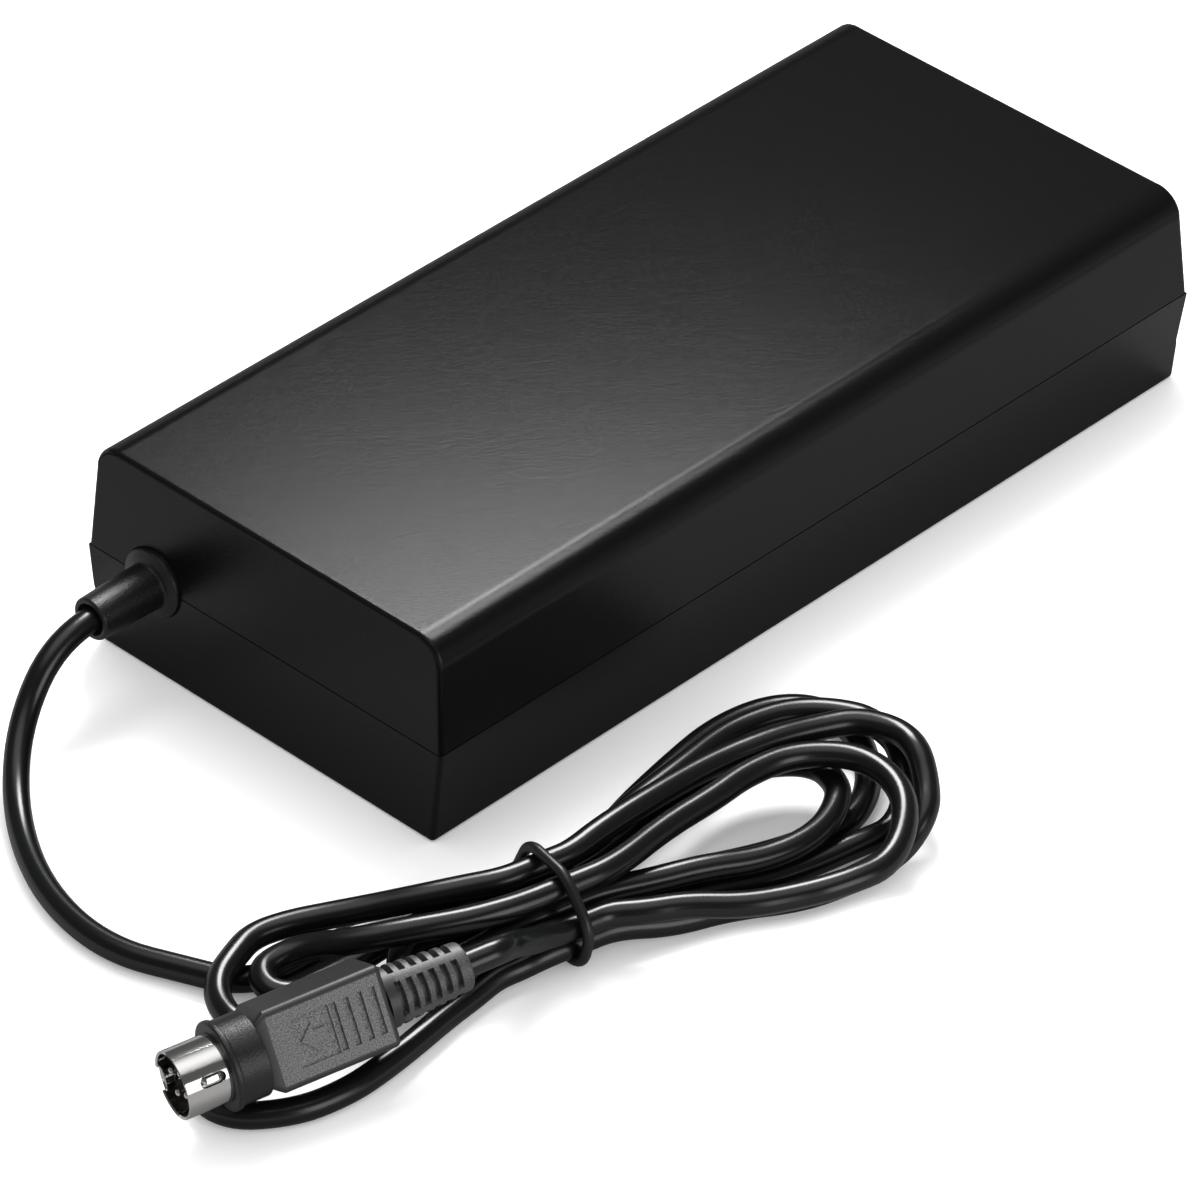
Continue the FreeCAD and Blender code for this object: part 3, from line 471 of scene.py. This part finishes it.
# Case strain relief. A soft PVC gland moulded on the cord, clamped between the halves by its groove,
# with a shallow domed flange outside and a tapered sleeve.
GLAND_PROFILE = [(1.97, 5.0, 0), (5.5, 5.0, 0.2), (5.5, 2.75, 0), (3.7, 2.75, 0), (3.7, 0.58, 0),
                 (5.5, 0.58, 0), (5.5, -0.5, 0.35), (4.3, -1.05, 1.2), (3.66, -1.25, 0.35),
                 (3.38, -12.5, 0.4), (2.55, -12.5, 0.15), (2.4, -11.9, 0.1), (1.97, -11.3, 0)]


def turned(outline, place, steps=64):
    """Spins an outline of (radius, height, corner radius) in mm about Z, and sets the result in place."""
    mesh = bmesh.new()
    verts = [mesh.verts.new(Vector((p.x, 0, p.y)) * MM) for p in rounded(outline, 4, closed=False)]
    edges = [mesh.edges.new(pair) for pair in zip(verts, verts[1:])]
    bmesh.ops.spin(mesh, geom=verts + edges, cent=(0, 0, 0), axis=(0, 0, 1), angle=2 * pi, steps=steps,
                   use_merge=True)
    bmesh.ops.remove_doubles(mesh, verts=mesh.verts, dist=1e-6)
    bmesh.ops.transform(mesh, matrix=place, verts=mesh.verts)
    return mesh


gland_place = Matrix.Translation((GLAND_X, -RIM_HALF[1], GLAND_HEIGHT)) @ Matrix.Rotation(-pi / 2, 4, "X")
gland = turned(GLAND_PROFILE, gland_place)
soft_black, soft_shader = new_material("moulded_soft_pvc", "#0f0f10", 0.36)
grain(soft_black, soft_shader, pitch=0.35 * MM, depth=0.07 * MM, harshness=0.7)
piece("case_gland", gland, soft_black, "adapter", ["case_strain_relief"])

# Mains inlet. A black nylon socket whose recess has the bevelled outline of its plug. It is moulded in
# one piece and held in the opening of the far end wall, between the two halves.
INLET_HALF_WIDTH = 14.25 * MM
INLET_HEIGHT = 20.9 * MM
INLET_FOOT = 6.85 * MM
INLET_FRONT = 79.85 * MM
INLET_BACK = 59.85 * MM
SOCKET = [(-12.2, -8.2, 1.5), (12.2, -8.2, 1.5), (12.2, 3.6, 0.5), (7.6, 8.2, 0.5), (-7.6, 8.2, 0.5),
          (-12.2, 3.6, 0.5)]
SOCKET_DEPTH = 16.0 * MM


def sink(mesh, faces, depth, draft=0.03 * MM):
    """Presses those faces in by that depth, with walls of a slight draft."""
    bmesh.ops.inset_region(mesh, faces=faces, thickness=draft, depth=-depth, use_even_offset=True)


def block(centre, size):
    """A box of that size about that centre."""
    mesh = bmesh.new()
    bmesh.ops.create_cube(mesh, size=1.0, matrix=Matrix.Translation(centre) @ Matrix.Diagonal((*size, 1)))
    return mesh


inlet = block((0, (INLET_FRONT + INLET_BACK) / 2, INLET_FOOT + INLET_HEIGHT / 2),
              (2 * INLET_HALF_WIDTH, INLET_FRONT - INLET_BACK, INLET_HEIGHT))
bmesh.ops.recalc_face_normals(inlet, faces=inlet.faces)
soften(inlet, lambda e: all(v.co.y > INLET_FRONT - MM for v in e.verts), 0.3 * MM, 3)
bmesh.ops.recalc_face_normals(inlet, faces=inlet.faces)
socket_outline = [p * MM + Vector((0, INLET_OPENING[2])) for p in rounded(SOCKET, 4)]
socket = window(inlet, [f for f in inlet.faces if f.normal.y > 0.99], socket_outline, X_AXIS, Z_AXIS)
sink(inlet, socket, SOCKET_DEPTH)
inlet_black = new_material("inlet_nylon", "#161617", 0.35)[0]
piece("mains_inlet_socket", inlet, inlet_black, "adapter", ["inlet_housing"])

# Inlet pins. Three flat blades of nickel-plated brass, pressed through the back of the socket. The
# earth pin stands higher, in the middle, and reaches further forward than the other two.
BLADE_BACK = 56.85
BLADE_WIDTH = 2.0
BLADE_HEIGHT = 4.0
BLADES = [("line_pin_blade", "inlet_line_pin", 7.0, 14.3, 76.85),
          ("neutral_pin_blade", "inlet_neutral_pin", -7.0, 14.3, 76.85),
          ("earth_pin_blade", "inlet_earth_pin", 0.0, 18.3, 78.35)]

nickel, nickel_shader = new_material("nickel_plate", "#dcd8ce", 0.2, metallic=1.0)
grain(nickel, nickel_shader, pitch=1.5 * MM, depth=0.01 * MM)
for name, node, x, foot, front in BLADES:
    blade = block(Vector((x, (front + BLADE_BACK) / 2, foot + BLADE_HEIGHT / 2)) * MM,
                  (BLADE_WIDTH * MM, (front - BLADE_BACK) * MM, BLADE_HEIGHT * MM))
    soften(blade, lambda e: all(v.co.y > (front - 1) * MM for v in e.verts), 0.6 * MM, 4)
    soften(blade, lambda e: run(e, 1) > 5 * MM, 0.15 * MM, 2)
    piece(name, blade, nickel, "adapter", [node])

# Plug shell. A tube of drawn steel in bright chrome, ten millimetres across, with a long window on each
# big side for a latch. On the far side its rim is set back and bowed inwards as a key. Its root is held
# in the collar.
PLUG_AXIS = Vector((0.271829, 0.960622, 0.057564))
PLUG_FACE = Vector((0.835647, -0.265285, 0.480955))
PLUG_MOUTH = Vector((55.3274, -149.9941, 10.5096)) * MM
SHELL_RADIUS = 5.0
SHELL_WALL = 0.45
SHELL_LENGTH = 6.7
SHELL_PROFILE = [(SHELL_RADIUS - 0.12, 0, 0), (SHELL_RADIUS, 0.12, 0.08), (SHELL_RADIUS, 2.0, 0),
                 (SHELL_RADIUS, 4.3, 0), (SHELL_RADIUS, SHELL_LENGTH, 0), (4.8, SHELL_LENGTH + 0.05, 0),
                 (4.8, 9.8, 0)]
WINDOW_LOW = (-0.8, 2.2)
WINDOW_HIGH = (0.8, 6.1)
WINDOW_ROUND = 0.79
KEY_OFFSET = 0.4
KEY_WIDTH = 3.6
KEY_SETBACK = 0.5
KEY_DEPTH = 1.7
KEY_REACH = 3.3
KEY_BOW_RADIUS = 2.4
KEY_BOW_TURN = radians(56)
plug_place = Matrix.Translation(PLUG_MOUTH) @ Matrix(
    (PLUG_FACE.cross(PLUG_AXIS), PLUG_FACE, PLUG_AXIS)).transposed().to_4x4()


def join(mesh, extra):
    """Moves the other mesh's geometry into this one."""
    data = bpy.data.meshes.new("joined")
    extra.to_mesh(data)
    extra.free()
    mesh.from_mesh(data)
    bpy.data.meshes.remove(data)


shell = turned(SHELL_PROFILE, Matrix(), 96)
bmesh.ops.recalc_face_normals(shell, faces=shell.faces)
for side in (-1, 1):
    latch_window = [p * MM for p in rectangle(WINDOW_LOW, WINDOW_HIGH, WINDOW_ROUND, 8)]
    open_window(shell, lambda f: f.normal.y * side > 0.9, latch_window, X_AXIS, Z_AXIS)
notch = [p * MM for p in rectangle((KEY_OFFSET - KEY_WIDTH / 2, -1),
                                   (KEY_OFFSET + KEY_WIDTH / 2, KEY_DEPTH), 0.2)]
open_window(shell, lambda f: f.calc_center_median().y < -3 * MM and f.calc_center_median().z < 2 * MM,
            notch, X_AXIS, Z_AXIS)
thicken(shell, SHELL_WALL * MM)
key = bmesh.new()
bow_centre = Vector((KEY_OFFSET, -KEY_REACH - KEY_BOW_RADIUS))
lens = [Vector((KEY_OFFSET + side * KEY_BOW_RADIUS * sin(KEY_BOW_TURN * share),
                bow_centre.y + KEY_BOW_RADIUS * cos(KEY_BOW_TURN * share)))
        for side, share in [(1, 1 - i / 6) for i in range(6)] + [(-1, i / 6) for i in range(7)]]
rim_start = atan2(lens[-1].y, lens[-1].x)
rim_turn = atan2(lens[0].y, lens[0].x) - rim_start
for i in range(1, 10):
    angle = rim_start + rim_turn * i / 10
    lens.append(Vector((cos(angle), sin(angle))) * (SHELL_RADIUS - 0.05))
front = key.faces.new([key.verts.new(Vector((p.x, p.y, KEY_SETBACK)) * MM) for p in lens])
back_face = bmesh.ops.extrude_face_region(key, geom=[front])
bmesh.ops.translate(key, vec=(0, 0, (KEY_DEPTH - KEY_SETBACK + 0.1) * MM), verts=verts_of(back_face))
bmesh.ops.recalc_face_normals(key, faces=key.faces)
bmesh.ops.inset_region(key, faces=[f for f in key.faces if f.normal.z < -0.9], thickness=0.18 * MM,
                       depth=-0.25 * MM, use_even_offset=True)
join(shell, key)
bmesh.ops.transform(shell, matrix=plug_place, verts=shell.verts)
chrome, chrome_shader = new_material("bright_chrome", "#e2e1df", 0.1, metallic=1.0)
grain(chrome, chrome_shader, pitch=2.5 * MM, depth=0.008 * MM)
piece("chrome_shell", shell, chrome, "adapter", ["plug_shell"])

# Plug insulator. A disc of dark nylon, pressed into the shell behind the tips of the contacts. It has
# a slot on each big side, where a latch leaf can give way.
CORE_PROFILE = [(0, 4.4, 0), (4.53, 4.4, 0.25), (4.53, 9.8, 0), (0, 9.8, 0)]
SLOT_HALF_WIDTH = 0.95
SLOT_MIDDLE = 4.55
SLOT_REACH = 1.0
SLOT_DEPTH = 4.8

core = turned(CORE_PROFILE, Matrix(), 64)
bmesh.ops.recalc_face_normals(core, faces=core.faces)
for side in (-1, 1):
    slot_outline = [p * MM for p in rectangle((-SLOT_HALF_WIDTH, side * SLOT_MIDDLE - SLOT_REACH),
                                              (SLOT_HALF_WIDTH, side * SLOT_MIDDLE + SLOT_REACH))]
    front = window(core, [f for f in core.faces if f.normal.z < -0.5], slot_outline, X_AXIS, Y_AXIS)
    sink(core, front, SLOT_DEPTH * MM)
bmesh.ops.transform(core, matrix=plug_place, verts=core.verts)
core_black = new_material("insulator_nylon", "#0c0c0d", 0.4, specular=0.35)[0]
piece("plug_insulator_core", core, core_black, "adapter", ["plug_insulator"])

# Contact pins. Four round pins of nickel-plated brass with rounded tips, turned, and moulded into the
# insulator at the corners of a square.
CONTACT_COUNT = 4
CONTACT_RING = 2.25
CONTACT_PROFILE = [(0, 0.7, 0), (0.5, 0.7, 0.42), (0.5, 9.6, 0), (0, 9.6, 0)]

contacts = bmesh.new()
for i in range(CONTACT_COUNT):
    angle = 2 * pi * (i + 0.5) / CONTACT_COUNT
    spot = Matrix.Translation(Vector((CONTACT_RING * cos(angle), CONTACT_RING * sin(angle), 0)) * MM)
    join(contacts, turned(CONTACT_PROFILE, spot, 24))
bmesh.ops.transform(contacts, matrix=plug_place, verts=contacts.verts)
piece("contact_pins", contacts, nickel, "adapter", ["plug_contacts"])

# Latch springs. Two leaves of bright spring steel, one under each window, each with a pressed bump that
# stands in the window. They are held in the insulator and give way inwards when the plug goes in.
LEAF_INNER = 4.42
LEAF_WIDTH = 1.2
LEAF_THICKNESS = 0.25
LEAF_LINE = [(LEAF_INNER, 9.0, 0), (LEAF_INNER, 5.7, 0.35), (4.88, 5.1, 0.45), (4.94, 4.1, 3.0),
             (4.88, 3.1, 0.5), (LEAF_INNER, 2.5, 0.3), (LEAF_INNER, 2.0, 0)]

for side, name, node, body in ((1, "near_latch_leaf", "latch_spring_near", "near_latch"),
                               (-1, "far_latch_leaf", "latch_spring_far", "far_latch")):
    leaf = bmesh.new()
    verts = [leaf.verts.new(Vector((-LEAF_WIDTH / 2, side * p.x, p.y)) * MM)
             for p in rounded(LEAF_LINE, 5, closed=False)]
    edges = [leaf.edges.new(pair) for pair in zip(verts, verts[1:])]
    swept = bmesh.ops.extrude_edge_only(leaf, edges=edges)
    bmesh.ops.translate(leaf, vec=(LEAF_WIDTH * MM, 0, 0), verts=verts_of(swept))
    bmesh.ops.recalc_face_normals(leaf, faces=leaf.faces)
    if leaf.faces[:][0].normal.y * side < 0:
        bmesh.ops.reverse_faces(leaf, faces=leaf.faces)
    bmesh.ops.solidify(leaf, geom=leaf.faces[:], thickness=LEAF_THICKNESS * MM)
    soften(leaf, lambda e: e.calc_face_angle(0) > 1
           and all(abs(abs(v.co.x) - LEAF_WIDTH / 2 * MM) < 1e-6 for v in e.verts), 0.1 * MM, 2)
    bmesh.ops.transform(leaf, matrix=plug_place, verts=leaf.verts)
    piece(name, leaf, chrome, body, [node])

# Plug collar. A smooth round step of soft black PVC with a thin lip in front, moulded over the shell's
# root before the grip is moulded behind it.
COLLAR_PROFILE = [(4.83, 6.85, 0), (6.55, 6.85, 0.35), (6.55, 7.85, 0.3), (6.2, 7.95, 0.1),
                  (6.2, 12.3, 0.25), (4.83, 12.3, 0), (4.83, 6.85, 0)]

collar = turned(COLLAR_PROFILE, plug_place, 96)
collar_black, collar_shader = new_material("collar_soft_pvc", "#131314", 0.36)
grain(collar_black, collar_shader, pitch=0.3 * MM, depth=0.06 * MM, harshness=0.7)
piece("plug_round_collar", collar, collar_black, "adapter", ["plug_collar"])

# Plug grip. A flat handle of soft black PVC moulded over the wires, with slanted facets down to the
# collar, and a ribbed tail, modelled straight, that bends with the cord in use. Both big faces have spark
# grain, and the upper one has four finger slots and a sunk square panel round an arrow, all from the mould.
GRIP_START = 12.3
GRIP_END = 31.75
GRIP_HALF = (6.0, 4.6)
NOSE_HALF = (4.9, 4.25)
NOSE_LENGTH = 1.5
SIDE_ROUND = 1.0
BACK_ROUND = 0.9
PANEL_START = GRIP_START + 4.6
PANEL_END = PANEL_START + 6.0
PANEL_HALF_WIDTH = 3.5
PANEL_DEPTH = 0.35
ARROW_TIP = PANEL_START + 1.0
ARROW_SHOULDER = PANEL_START + 3.0
ARROW_END = PANEL_START + 4.8
HEAD_HALF_WIDTH = 2.0
SHAFT_HALF_WIDTH = 0.9
FINGER_SLOTS = 4
FINGER_START = 2.6
FINGER_PITCH = 2.0
FINGER_HALF = (3.45, 0.475)
FINGER_DEPTH = 0.5
RELIEF_LENGTH = 13.25
RELIEF_RADII = (4.5, 3.5)
RIB_COUNT = 6
RIB_START = 1.5
RIB_PITCH = 1.78
RIB_GAP = 1.0
RIB_GAP_DEPTH = 1.0
SPINE_HALF_TURN = 10


def cut_across(mesh, height):
    """Draws edges round the whole mesh at that height in mm, and removes nothing."""
    bmesh.ops.bisect_plane(mesh, geom=mesh.verts[:] + mesh.edges[:] + mesh.faces[:],
                           plane_co=(0, 0, height * MM), plane_no=(0, 0, 1), dist=1e-8)


grip_half = [h * MM for h in GRIP_HALF]
grip = drafted_box(grip_half, GRIP_START * MM, grip_half, GRIP_END * MM)
bmesh.ops.recalc_face_normals(grip, faces=grip.faces)
soften(grip, lambda e: run(e, 2) > MM, SIDE_ROUND * MM, 5)
soften(grip, lambda e: above(e, (GRIP_END - 0.5) * MM), BACK_ROUND * MM, 4)
cut_across(grip, GRIP_START + NOSE_LENGTH)
for vert in grip.verts:
    if vert.co.z < (GRIP_START + 0.1) * MM:
        vert.co.x *= NOSE_HALF[0] / GRIP_HALF[0]
        vert.co.y *= NOSE_HALF[1] / GRIP_HALF[1]
bmesh.ops.recalc_face_normals(grip, faces=grip.faces)


def on_face(low, high):
    """The grip's upper faces whose middle is in that rectangle, in the plug's own mm."""
    return [f for f in grip.faces if f.normal.y > 0.999
            and low[0] * MM < f.calc_center_median().x < high[0] * MM
            and low[1] * MM < f.calc_center_median().z < high[1] * MM]


def face_window(low, high):
    """Cuts a rectangle in the grip's upper face, and returns the faces inside it."""
    outline = [p * MM for p in rectangle(low, high)]
    return window(grip, on_face((-6, GRIP_START + NOSE_LENGTH), (6, GRIP_END)), outline, X_AXIS, Z_AXIS)


panel_low = (-PANEL_HALF_WIDTH, PANEL_START)
panel_high = (PANEL_HALF_WIDTH, PANEL_END)
panel = face_window(panel_low, panel_high)
head_outline = [Vector(p) * MM for p in (
    (0, ARROW_TIP), (HEAD_HALF_WIDTH, ARROW_SHOULDER), (-HEAD_HALF_WIDTH, ARROW_SHOULDER))]
arrow = window(grip, panel, head_outline, X_AXIS, Z_AXIS)
shaft_outline = [p * MM for p in rectangle((-SHAFT_HALF_WIDTH, ARROW_SHOULDER),
                                           (SHAFT_HALF_WIDTH, ARROW_END))]
around = on_face(panel_low, panel_high)
arrow += window(grip, [f for f in around if f not in arrow], shaft_outline, X_AXIS, Z_AXIS)
around = on_face(panel_low, panel_high)
sink(grip, [f for f in around if f not in arrow], PANEL_DEPTH * MM)
for i in range(FINGER_SLOTS):
    middle = GRIP_END - FINGER_START - FINGER_PITCH * i + FINGER_HALF[1]
    sink(grip, face_window((-FINGER_HALF[0], middle - FINGER_HALF[1]),
                           (FINGER_HALF[0], middle + FINGER_HALF[1])), FINGER_DEPTH * MM)

tail = bmesh.new()
bmesh.ops.create_cone(tail, cap_ends=True, segments=72, radius1=RELIEF_RADII[0] * MM,
                      radius2=RELIEF_RADII[1] * MM, depth=RELIEF_LENGTH * MM)
bmesh.ops.translate(tail, vec=(0, 0, (GRIP_END + RELIEF_LENGTH / 2) * MM), verts=tail.verts)
for i in range(RIB_COUNT):
    for z in (0, RIB_GAP):
        cut_across(tail, GRIP_END + RIB_START + RIB_PITCH * i + z)
bmesh.ops.recalc_face_normals(tail, faces=tail.faces)
rib_gaps = []
for face in tail.faces:
    middle = face.calc_center_median()
    along = middle.z / MM - GRIP_END - RIB_START
    spine = abs((degrees(atan2(middle.y, middle.x)) % 90) - 45) < SPINE_HALF_TURN
    in_gap = 0 < along < RIB_COUNT * RIB_PITCH and along % RIB_PITCH < RIB_GAP
    if in_gap and not spine and abs(face.normal.z) < 0.5:
        rib_gaps.append(face)
sink(tail, rib_gaps, RIB_GAP_DEPTH * MM, 0.02 * MM)
soften(tail, lambda e: above(e, (GRIP_END + RELIEF_LENGTH - 0.1) * MM) and e.calc_face_angle(0) > 1,
       0.4 * MM, 3)
join(grip, tail)
bmesh.ops.transform(grip, matrix=plug_place, verts=grip.verts)


def maths(material, operation, *values):
    """Adds one step of arithmetic on numbers and outputs, and returns its output."""
    numbers = {i: v for i, v in enumerate(values) if isinstance(v, (int, float))}
    links = {f"_{i}": v for i, v in enumerate(values) if i not in numbers}
    return add(material, "ShaderNodeMath", {"operation": operation, **numbers}, **links).outputs[0]


# The grain's light specks are painted glints in the base colour, standing for its many facets catching
# the side light. They cover the two big faces inside their rounded edges, and the tail more faintly.
GRIP_GRAIN_PITCH = 0.2 * MM
GRIP_GRAIN_DEPTH = 0.06 * MM
TAIL_GRAIN = 0.4

grip_black, grip_shader = new_material("grained_soft_pvc", "#2c2c2d", 0.45, specular=0.75)
grip_place = add(grip_black, "ShaderNodeTexCoord")
own_axes = plug_place.inverted()
grip_turn = add(grip_black, "ShaderNodeMapping", {
    "Location": own_axes.to_translation(), "Rotation": own_axes.to_euler()},
    Vector=grip_place.outputs["Object"])
grip_noise = add(grip_black, "ShaderNodeTexNoise", {
    "Scale": 1 / GRIP_GRAIN_PITCH, "Detail": 2.0, "Roughness": 0.7}, Vector=grip_turn.outputs["Vector"])
grip_split = add(grip_black, "ShaderNodeSeparateXYZ", {}, Vector=grip_turn.outputs["Vector"])
grip_side = maths(grip_black, "ABSOLUTE", grip_split.outputs["X"])
grip_thick = maths(grip_black, "ABSOLUTE", grip_split.outputs["Y"])
on_big_face = maths(grip_black, "GREATER_THAN", grip_thick, (GRIP_HALF[1] - 0.6) * MM)
within = maths(grip_black, "LESS_THAN", grip_side, (GRIP_HALF[0] - SIDE_ROUND) * MM)
behind = maths(grip_black, "LESS_THAN", grip_split.outputs["Z"], (GRIP_END - BACK_ROUND) * MM)
ahead = maths(grip_black, "GREATER_THAN", grip_split.outputs["Z"], (GRIP_START + NOSE_LENGTH) * MM)
across_face = maths(grip_black, "MULTIPLY", on_big_face, within)
along_face = maths(grip_black, "MULTIPLY", behind, ahead)
flat = maths(grip_black, "MULTIPLY", across_face, along_face)
on_tail = maths(grip_black, "GREATER_THAN", grip_split.outputs["Z"], (GRIP_END + 2.0) * MM)
tail_share = maths(grip_black, "MULTIPLY", on_tail, TAIL_GRAIN)
grained = maths(grip_black, "MAXIMUM", flat, tail_share)
# Painted glints: the noise's high spots turn the base colour light grey on the grained faces.
grip_glint_speck = add(grip_black, "ShaderNodeMapRange", {
    "From Min": 0.35, "From Max": 0.75, "To Min": 0.0, "To Max": 1.0}, Value=grip_noise.outputs["Fac"])
painted_glint_share = maths(grip_black, "MULTIPLY", grip_glint_speck.outputs[0], grained)
painted_glint_tone = add(grip_black, "ShaderNodeMix", {
    "data_type": "RGBA", "A": linear("#1c1c1d"), "B": linear("#88888a")}, Factor=painted_glint_share)
grip_black.node_tree.links.new(painted_glint_tone.outputs["Result"], grip_shader.inputs["Base Color"])
grip_relief = maths(grip_black, "MULTIPLY", grip_noise.outputs["Fac"], grained)
grip_bump = add(grip_black, "ShaderNodeBump", {"Strength": 1.0, "Distance": GRIP_GRAIN_DEPTH},
                Height=grip_relief)
grip_black.node_tree.links.new(grip_bump.outputs["Normal"], grip_shader.inputs["Normal"])
piece("plug_grip", grip, grip_black, "adapter", ["plug_body"])

# Inner parts. The board and what it carries: ferrite cores with wound copper, film and can capacitors,
# potted rectifiers and folded aluminium heat sinks, all soldered to it. The case hides them.
INNER_FINISHES = {
    "moulded_black": ("#1a1a1b", 0.5, 0.0), "board": ("#1f4d2b", 0.45, 0.0),
    "ceramic": ("#d9d4c6", 0.4, 0.0), "copper_wire": ("#8a4a22", 0.3, 0.0),
    "ferrite": ("#303136", 0.6, 0.0), "film_case": ("#c3a94a", 0.4, 0.0),
    "ceramic_blue": ("#2a5aa0", 0.35, 0.0), "can_sleeve": ("#16161c", 0.3, 0.0),
    "sheet_metal": ("#c4c5c8", 0.35, 1.0), "winding_tape": ("#d0a83a", 0.35, 0.0),
    "wire_jacket": ("#6d1a1a", 0.4, 0.0), "cord_jacket": ("#161718", 0.3, 0.0),
}
inner_materials = {}
for slot, (colour, roughness, metallic) in INNER_FINISHES.items():
    finish, finish_shader = new_material(slot + "_inside", colour, roughness, metallic)
    grain(finish, finish_shader, pitch=1.2 * MM, depth=0.03 * MM)
    inner_materials[slot] = finish
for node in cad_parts.values():
    slot = node.data.materials[0].name
    if slot in inner_materials:
        node.material_slots[0].material = inner_materials[slot]

# Studio. A white paper sweep, lit by a small soft box above the brick and a low one at the right for
# the plug. A weak, wide sun that no piece mirrors softens the shadows, and the air's light is white.
LAMPS = [("overhead_softbox", 140.0, 67.0, 0.28, 0.12, 1.05), ("right_softbox", -9.0, 15.0, 0.55, 0.26, 0.6)]
FLOOR_GLOW = 0.15
MIRRORED_GLOW = 0.15
AIR_LIGHT = 1.05

floor_mesh = bmesh.new()
bmesh.ops.create_grid(floor_mesh, x_segments=1, y_segments=1, size=3.0)
floor_data = bpy.data.meshes.new("studio_floor")
floor_mesh.to_mesh(floor_data)
floor_mesh.free()
floor = put("studio_floor", floor_data)
white = bpy.data.materials.new("white_sweep")
white.use_nodes = True
white.node_tree.nodes.remove(white.node_tree.nodes["Principled BSDF"])
ray = add(white, "ShaderNodeLightPath")
tone = add(white, "ShaderNodeMapRange", {"To Min": 0.25, "To Max": 0.95}, Value=ray.outputs["Is Camera Ray"])
paper = add(white, "ShaderNodeBsdfDiffuse", {}, Color=tone.outputs[0])
mirrored = maths(white, "MAXIMUM", ray.outputs["Is Glossy Ray"], ray.outputs["Is Transmission Ray"])
mirrored_share = maths(white, "MULTIPLY", mirrored, MIRRORED_GLOW)
seen = maths(white, "MAXIMUM", ray.outputs["Is Camera Ray"], mirrored_share)
glow = add(white, "ShaderNodeEmission", {}, Strength=maths(white, "MULTIPLY", seen, FLOOR_GLOW))
total = add(white, "ShaderNodeAddShader", {}, _0=paper.outputs[0], _1=glow.outputs[0])
white.node_tree.links.new(total.outputs[0], white.node_tree.nodes["Material Output"].inputs["Surface"])
floor_data.materials.append(white)

for name, bearing, elevation, distance, size, power in LAMPS:
    way_out = Vector((cos(radians(bearing)) * cos(radians(elevation)),
                      sin(radians(bearing)) * cos(radians(elevation)), sin(radians(elevation))))
    lamp_data = bpy.data.lights.new(name, "AREA")
    lamp_data.shape = "SQUARE"
    lamp_data.size = size
    lamp_data.energy = power
    lamp = put(name, lamp_data)
    lamp.location = way_out * distance
    lamp.rotation_mode = "QUATERNION"
    lamp.rotation_quaternion = (-way_out).to_track_quat("-Z", "Y")
sun_data = bpy.data.lights.new("shadow_light", "SUN")
sun_data.energy = 0.5
sun_data.angle = radians(20)
sun = put("shadow_light", sun_data)
sun.rotation_euler = (0, radians(-18), radians(-45))
sun.visible_glossy = False

world = bpy.data.worlds.new("studio_air")
bpy.context.scene.world = world
world.use_nodes = True
background = world.node_tree.nodes["Background"]
background.inputs["Color"].default_value = (1, 1, 1, 1)
ray = add(world, "ShaderNodeLightPath")
place = add(world, "ShaderNodeTexCoord")
height = add(world, "ShaderNodeSeparateXYZ", {}, Vector=place.outputs["Generated"])
fade = add(world, "ShaderNodeMapRange", {"From Min": 0.0, "From Max": 0.12, "To Min": 1.0, "To Max": 0.1},
           Value=height.outputs["Z"])
mirrored = maths(world, "MAXIMUM", ray.outputs["Is Glossy Ray"], ray.outputs["Is Transmission Ray"])
zenith = add(world, "ShaderNodeMapRange", {"From Min": 0.84, "From Max": 0.97, "To Min": 0.0, "To Max": 1.2},
             Value=height.outputs["Z"])
sky = maths(world, "ADD", fade.outputs[0], zenith.outputs[0])
lit = add(world, "ShaderNodeMix", {"data_type": "FLOAT", 2: AIR_LIGHT}, _0=mirrored, _3=sky)
shown = add(world, "ShaderNodeMix", {"data_type": "FLOAT", 3: 1.0}, _0=ray.outputs["Is Camera Ray"],
            _2=lit.outputs[0])
world.node_tree.links.new(shown.outputs[0], background.inputs["Strength"])
bpy.context.scene.view_settings.view_transform = "Standard"

bpy.context.view_layer.update()
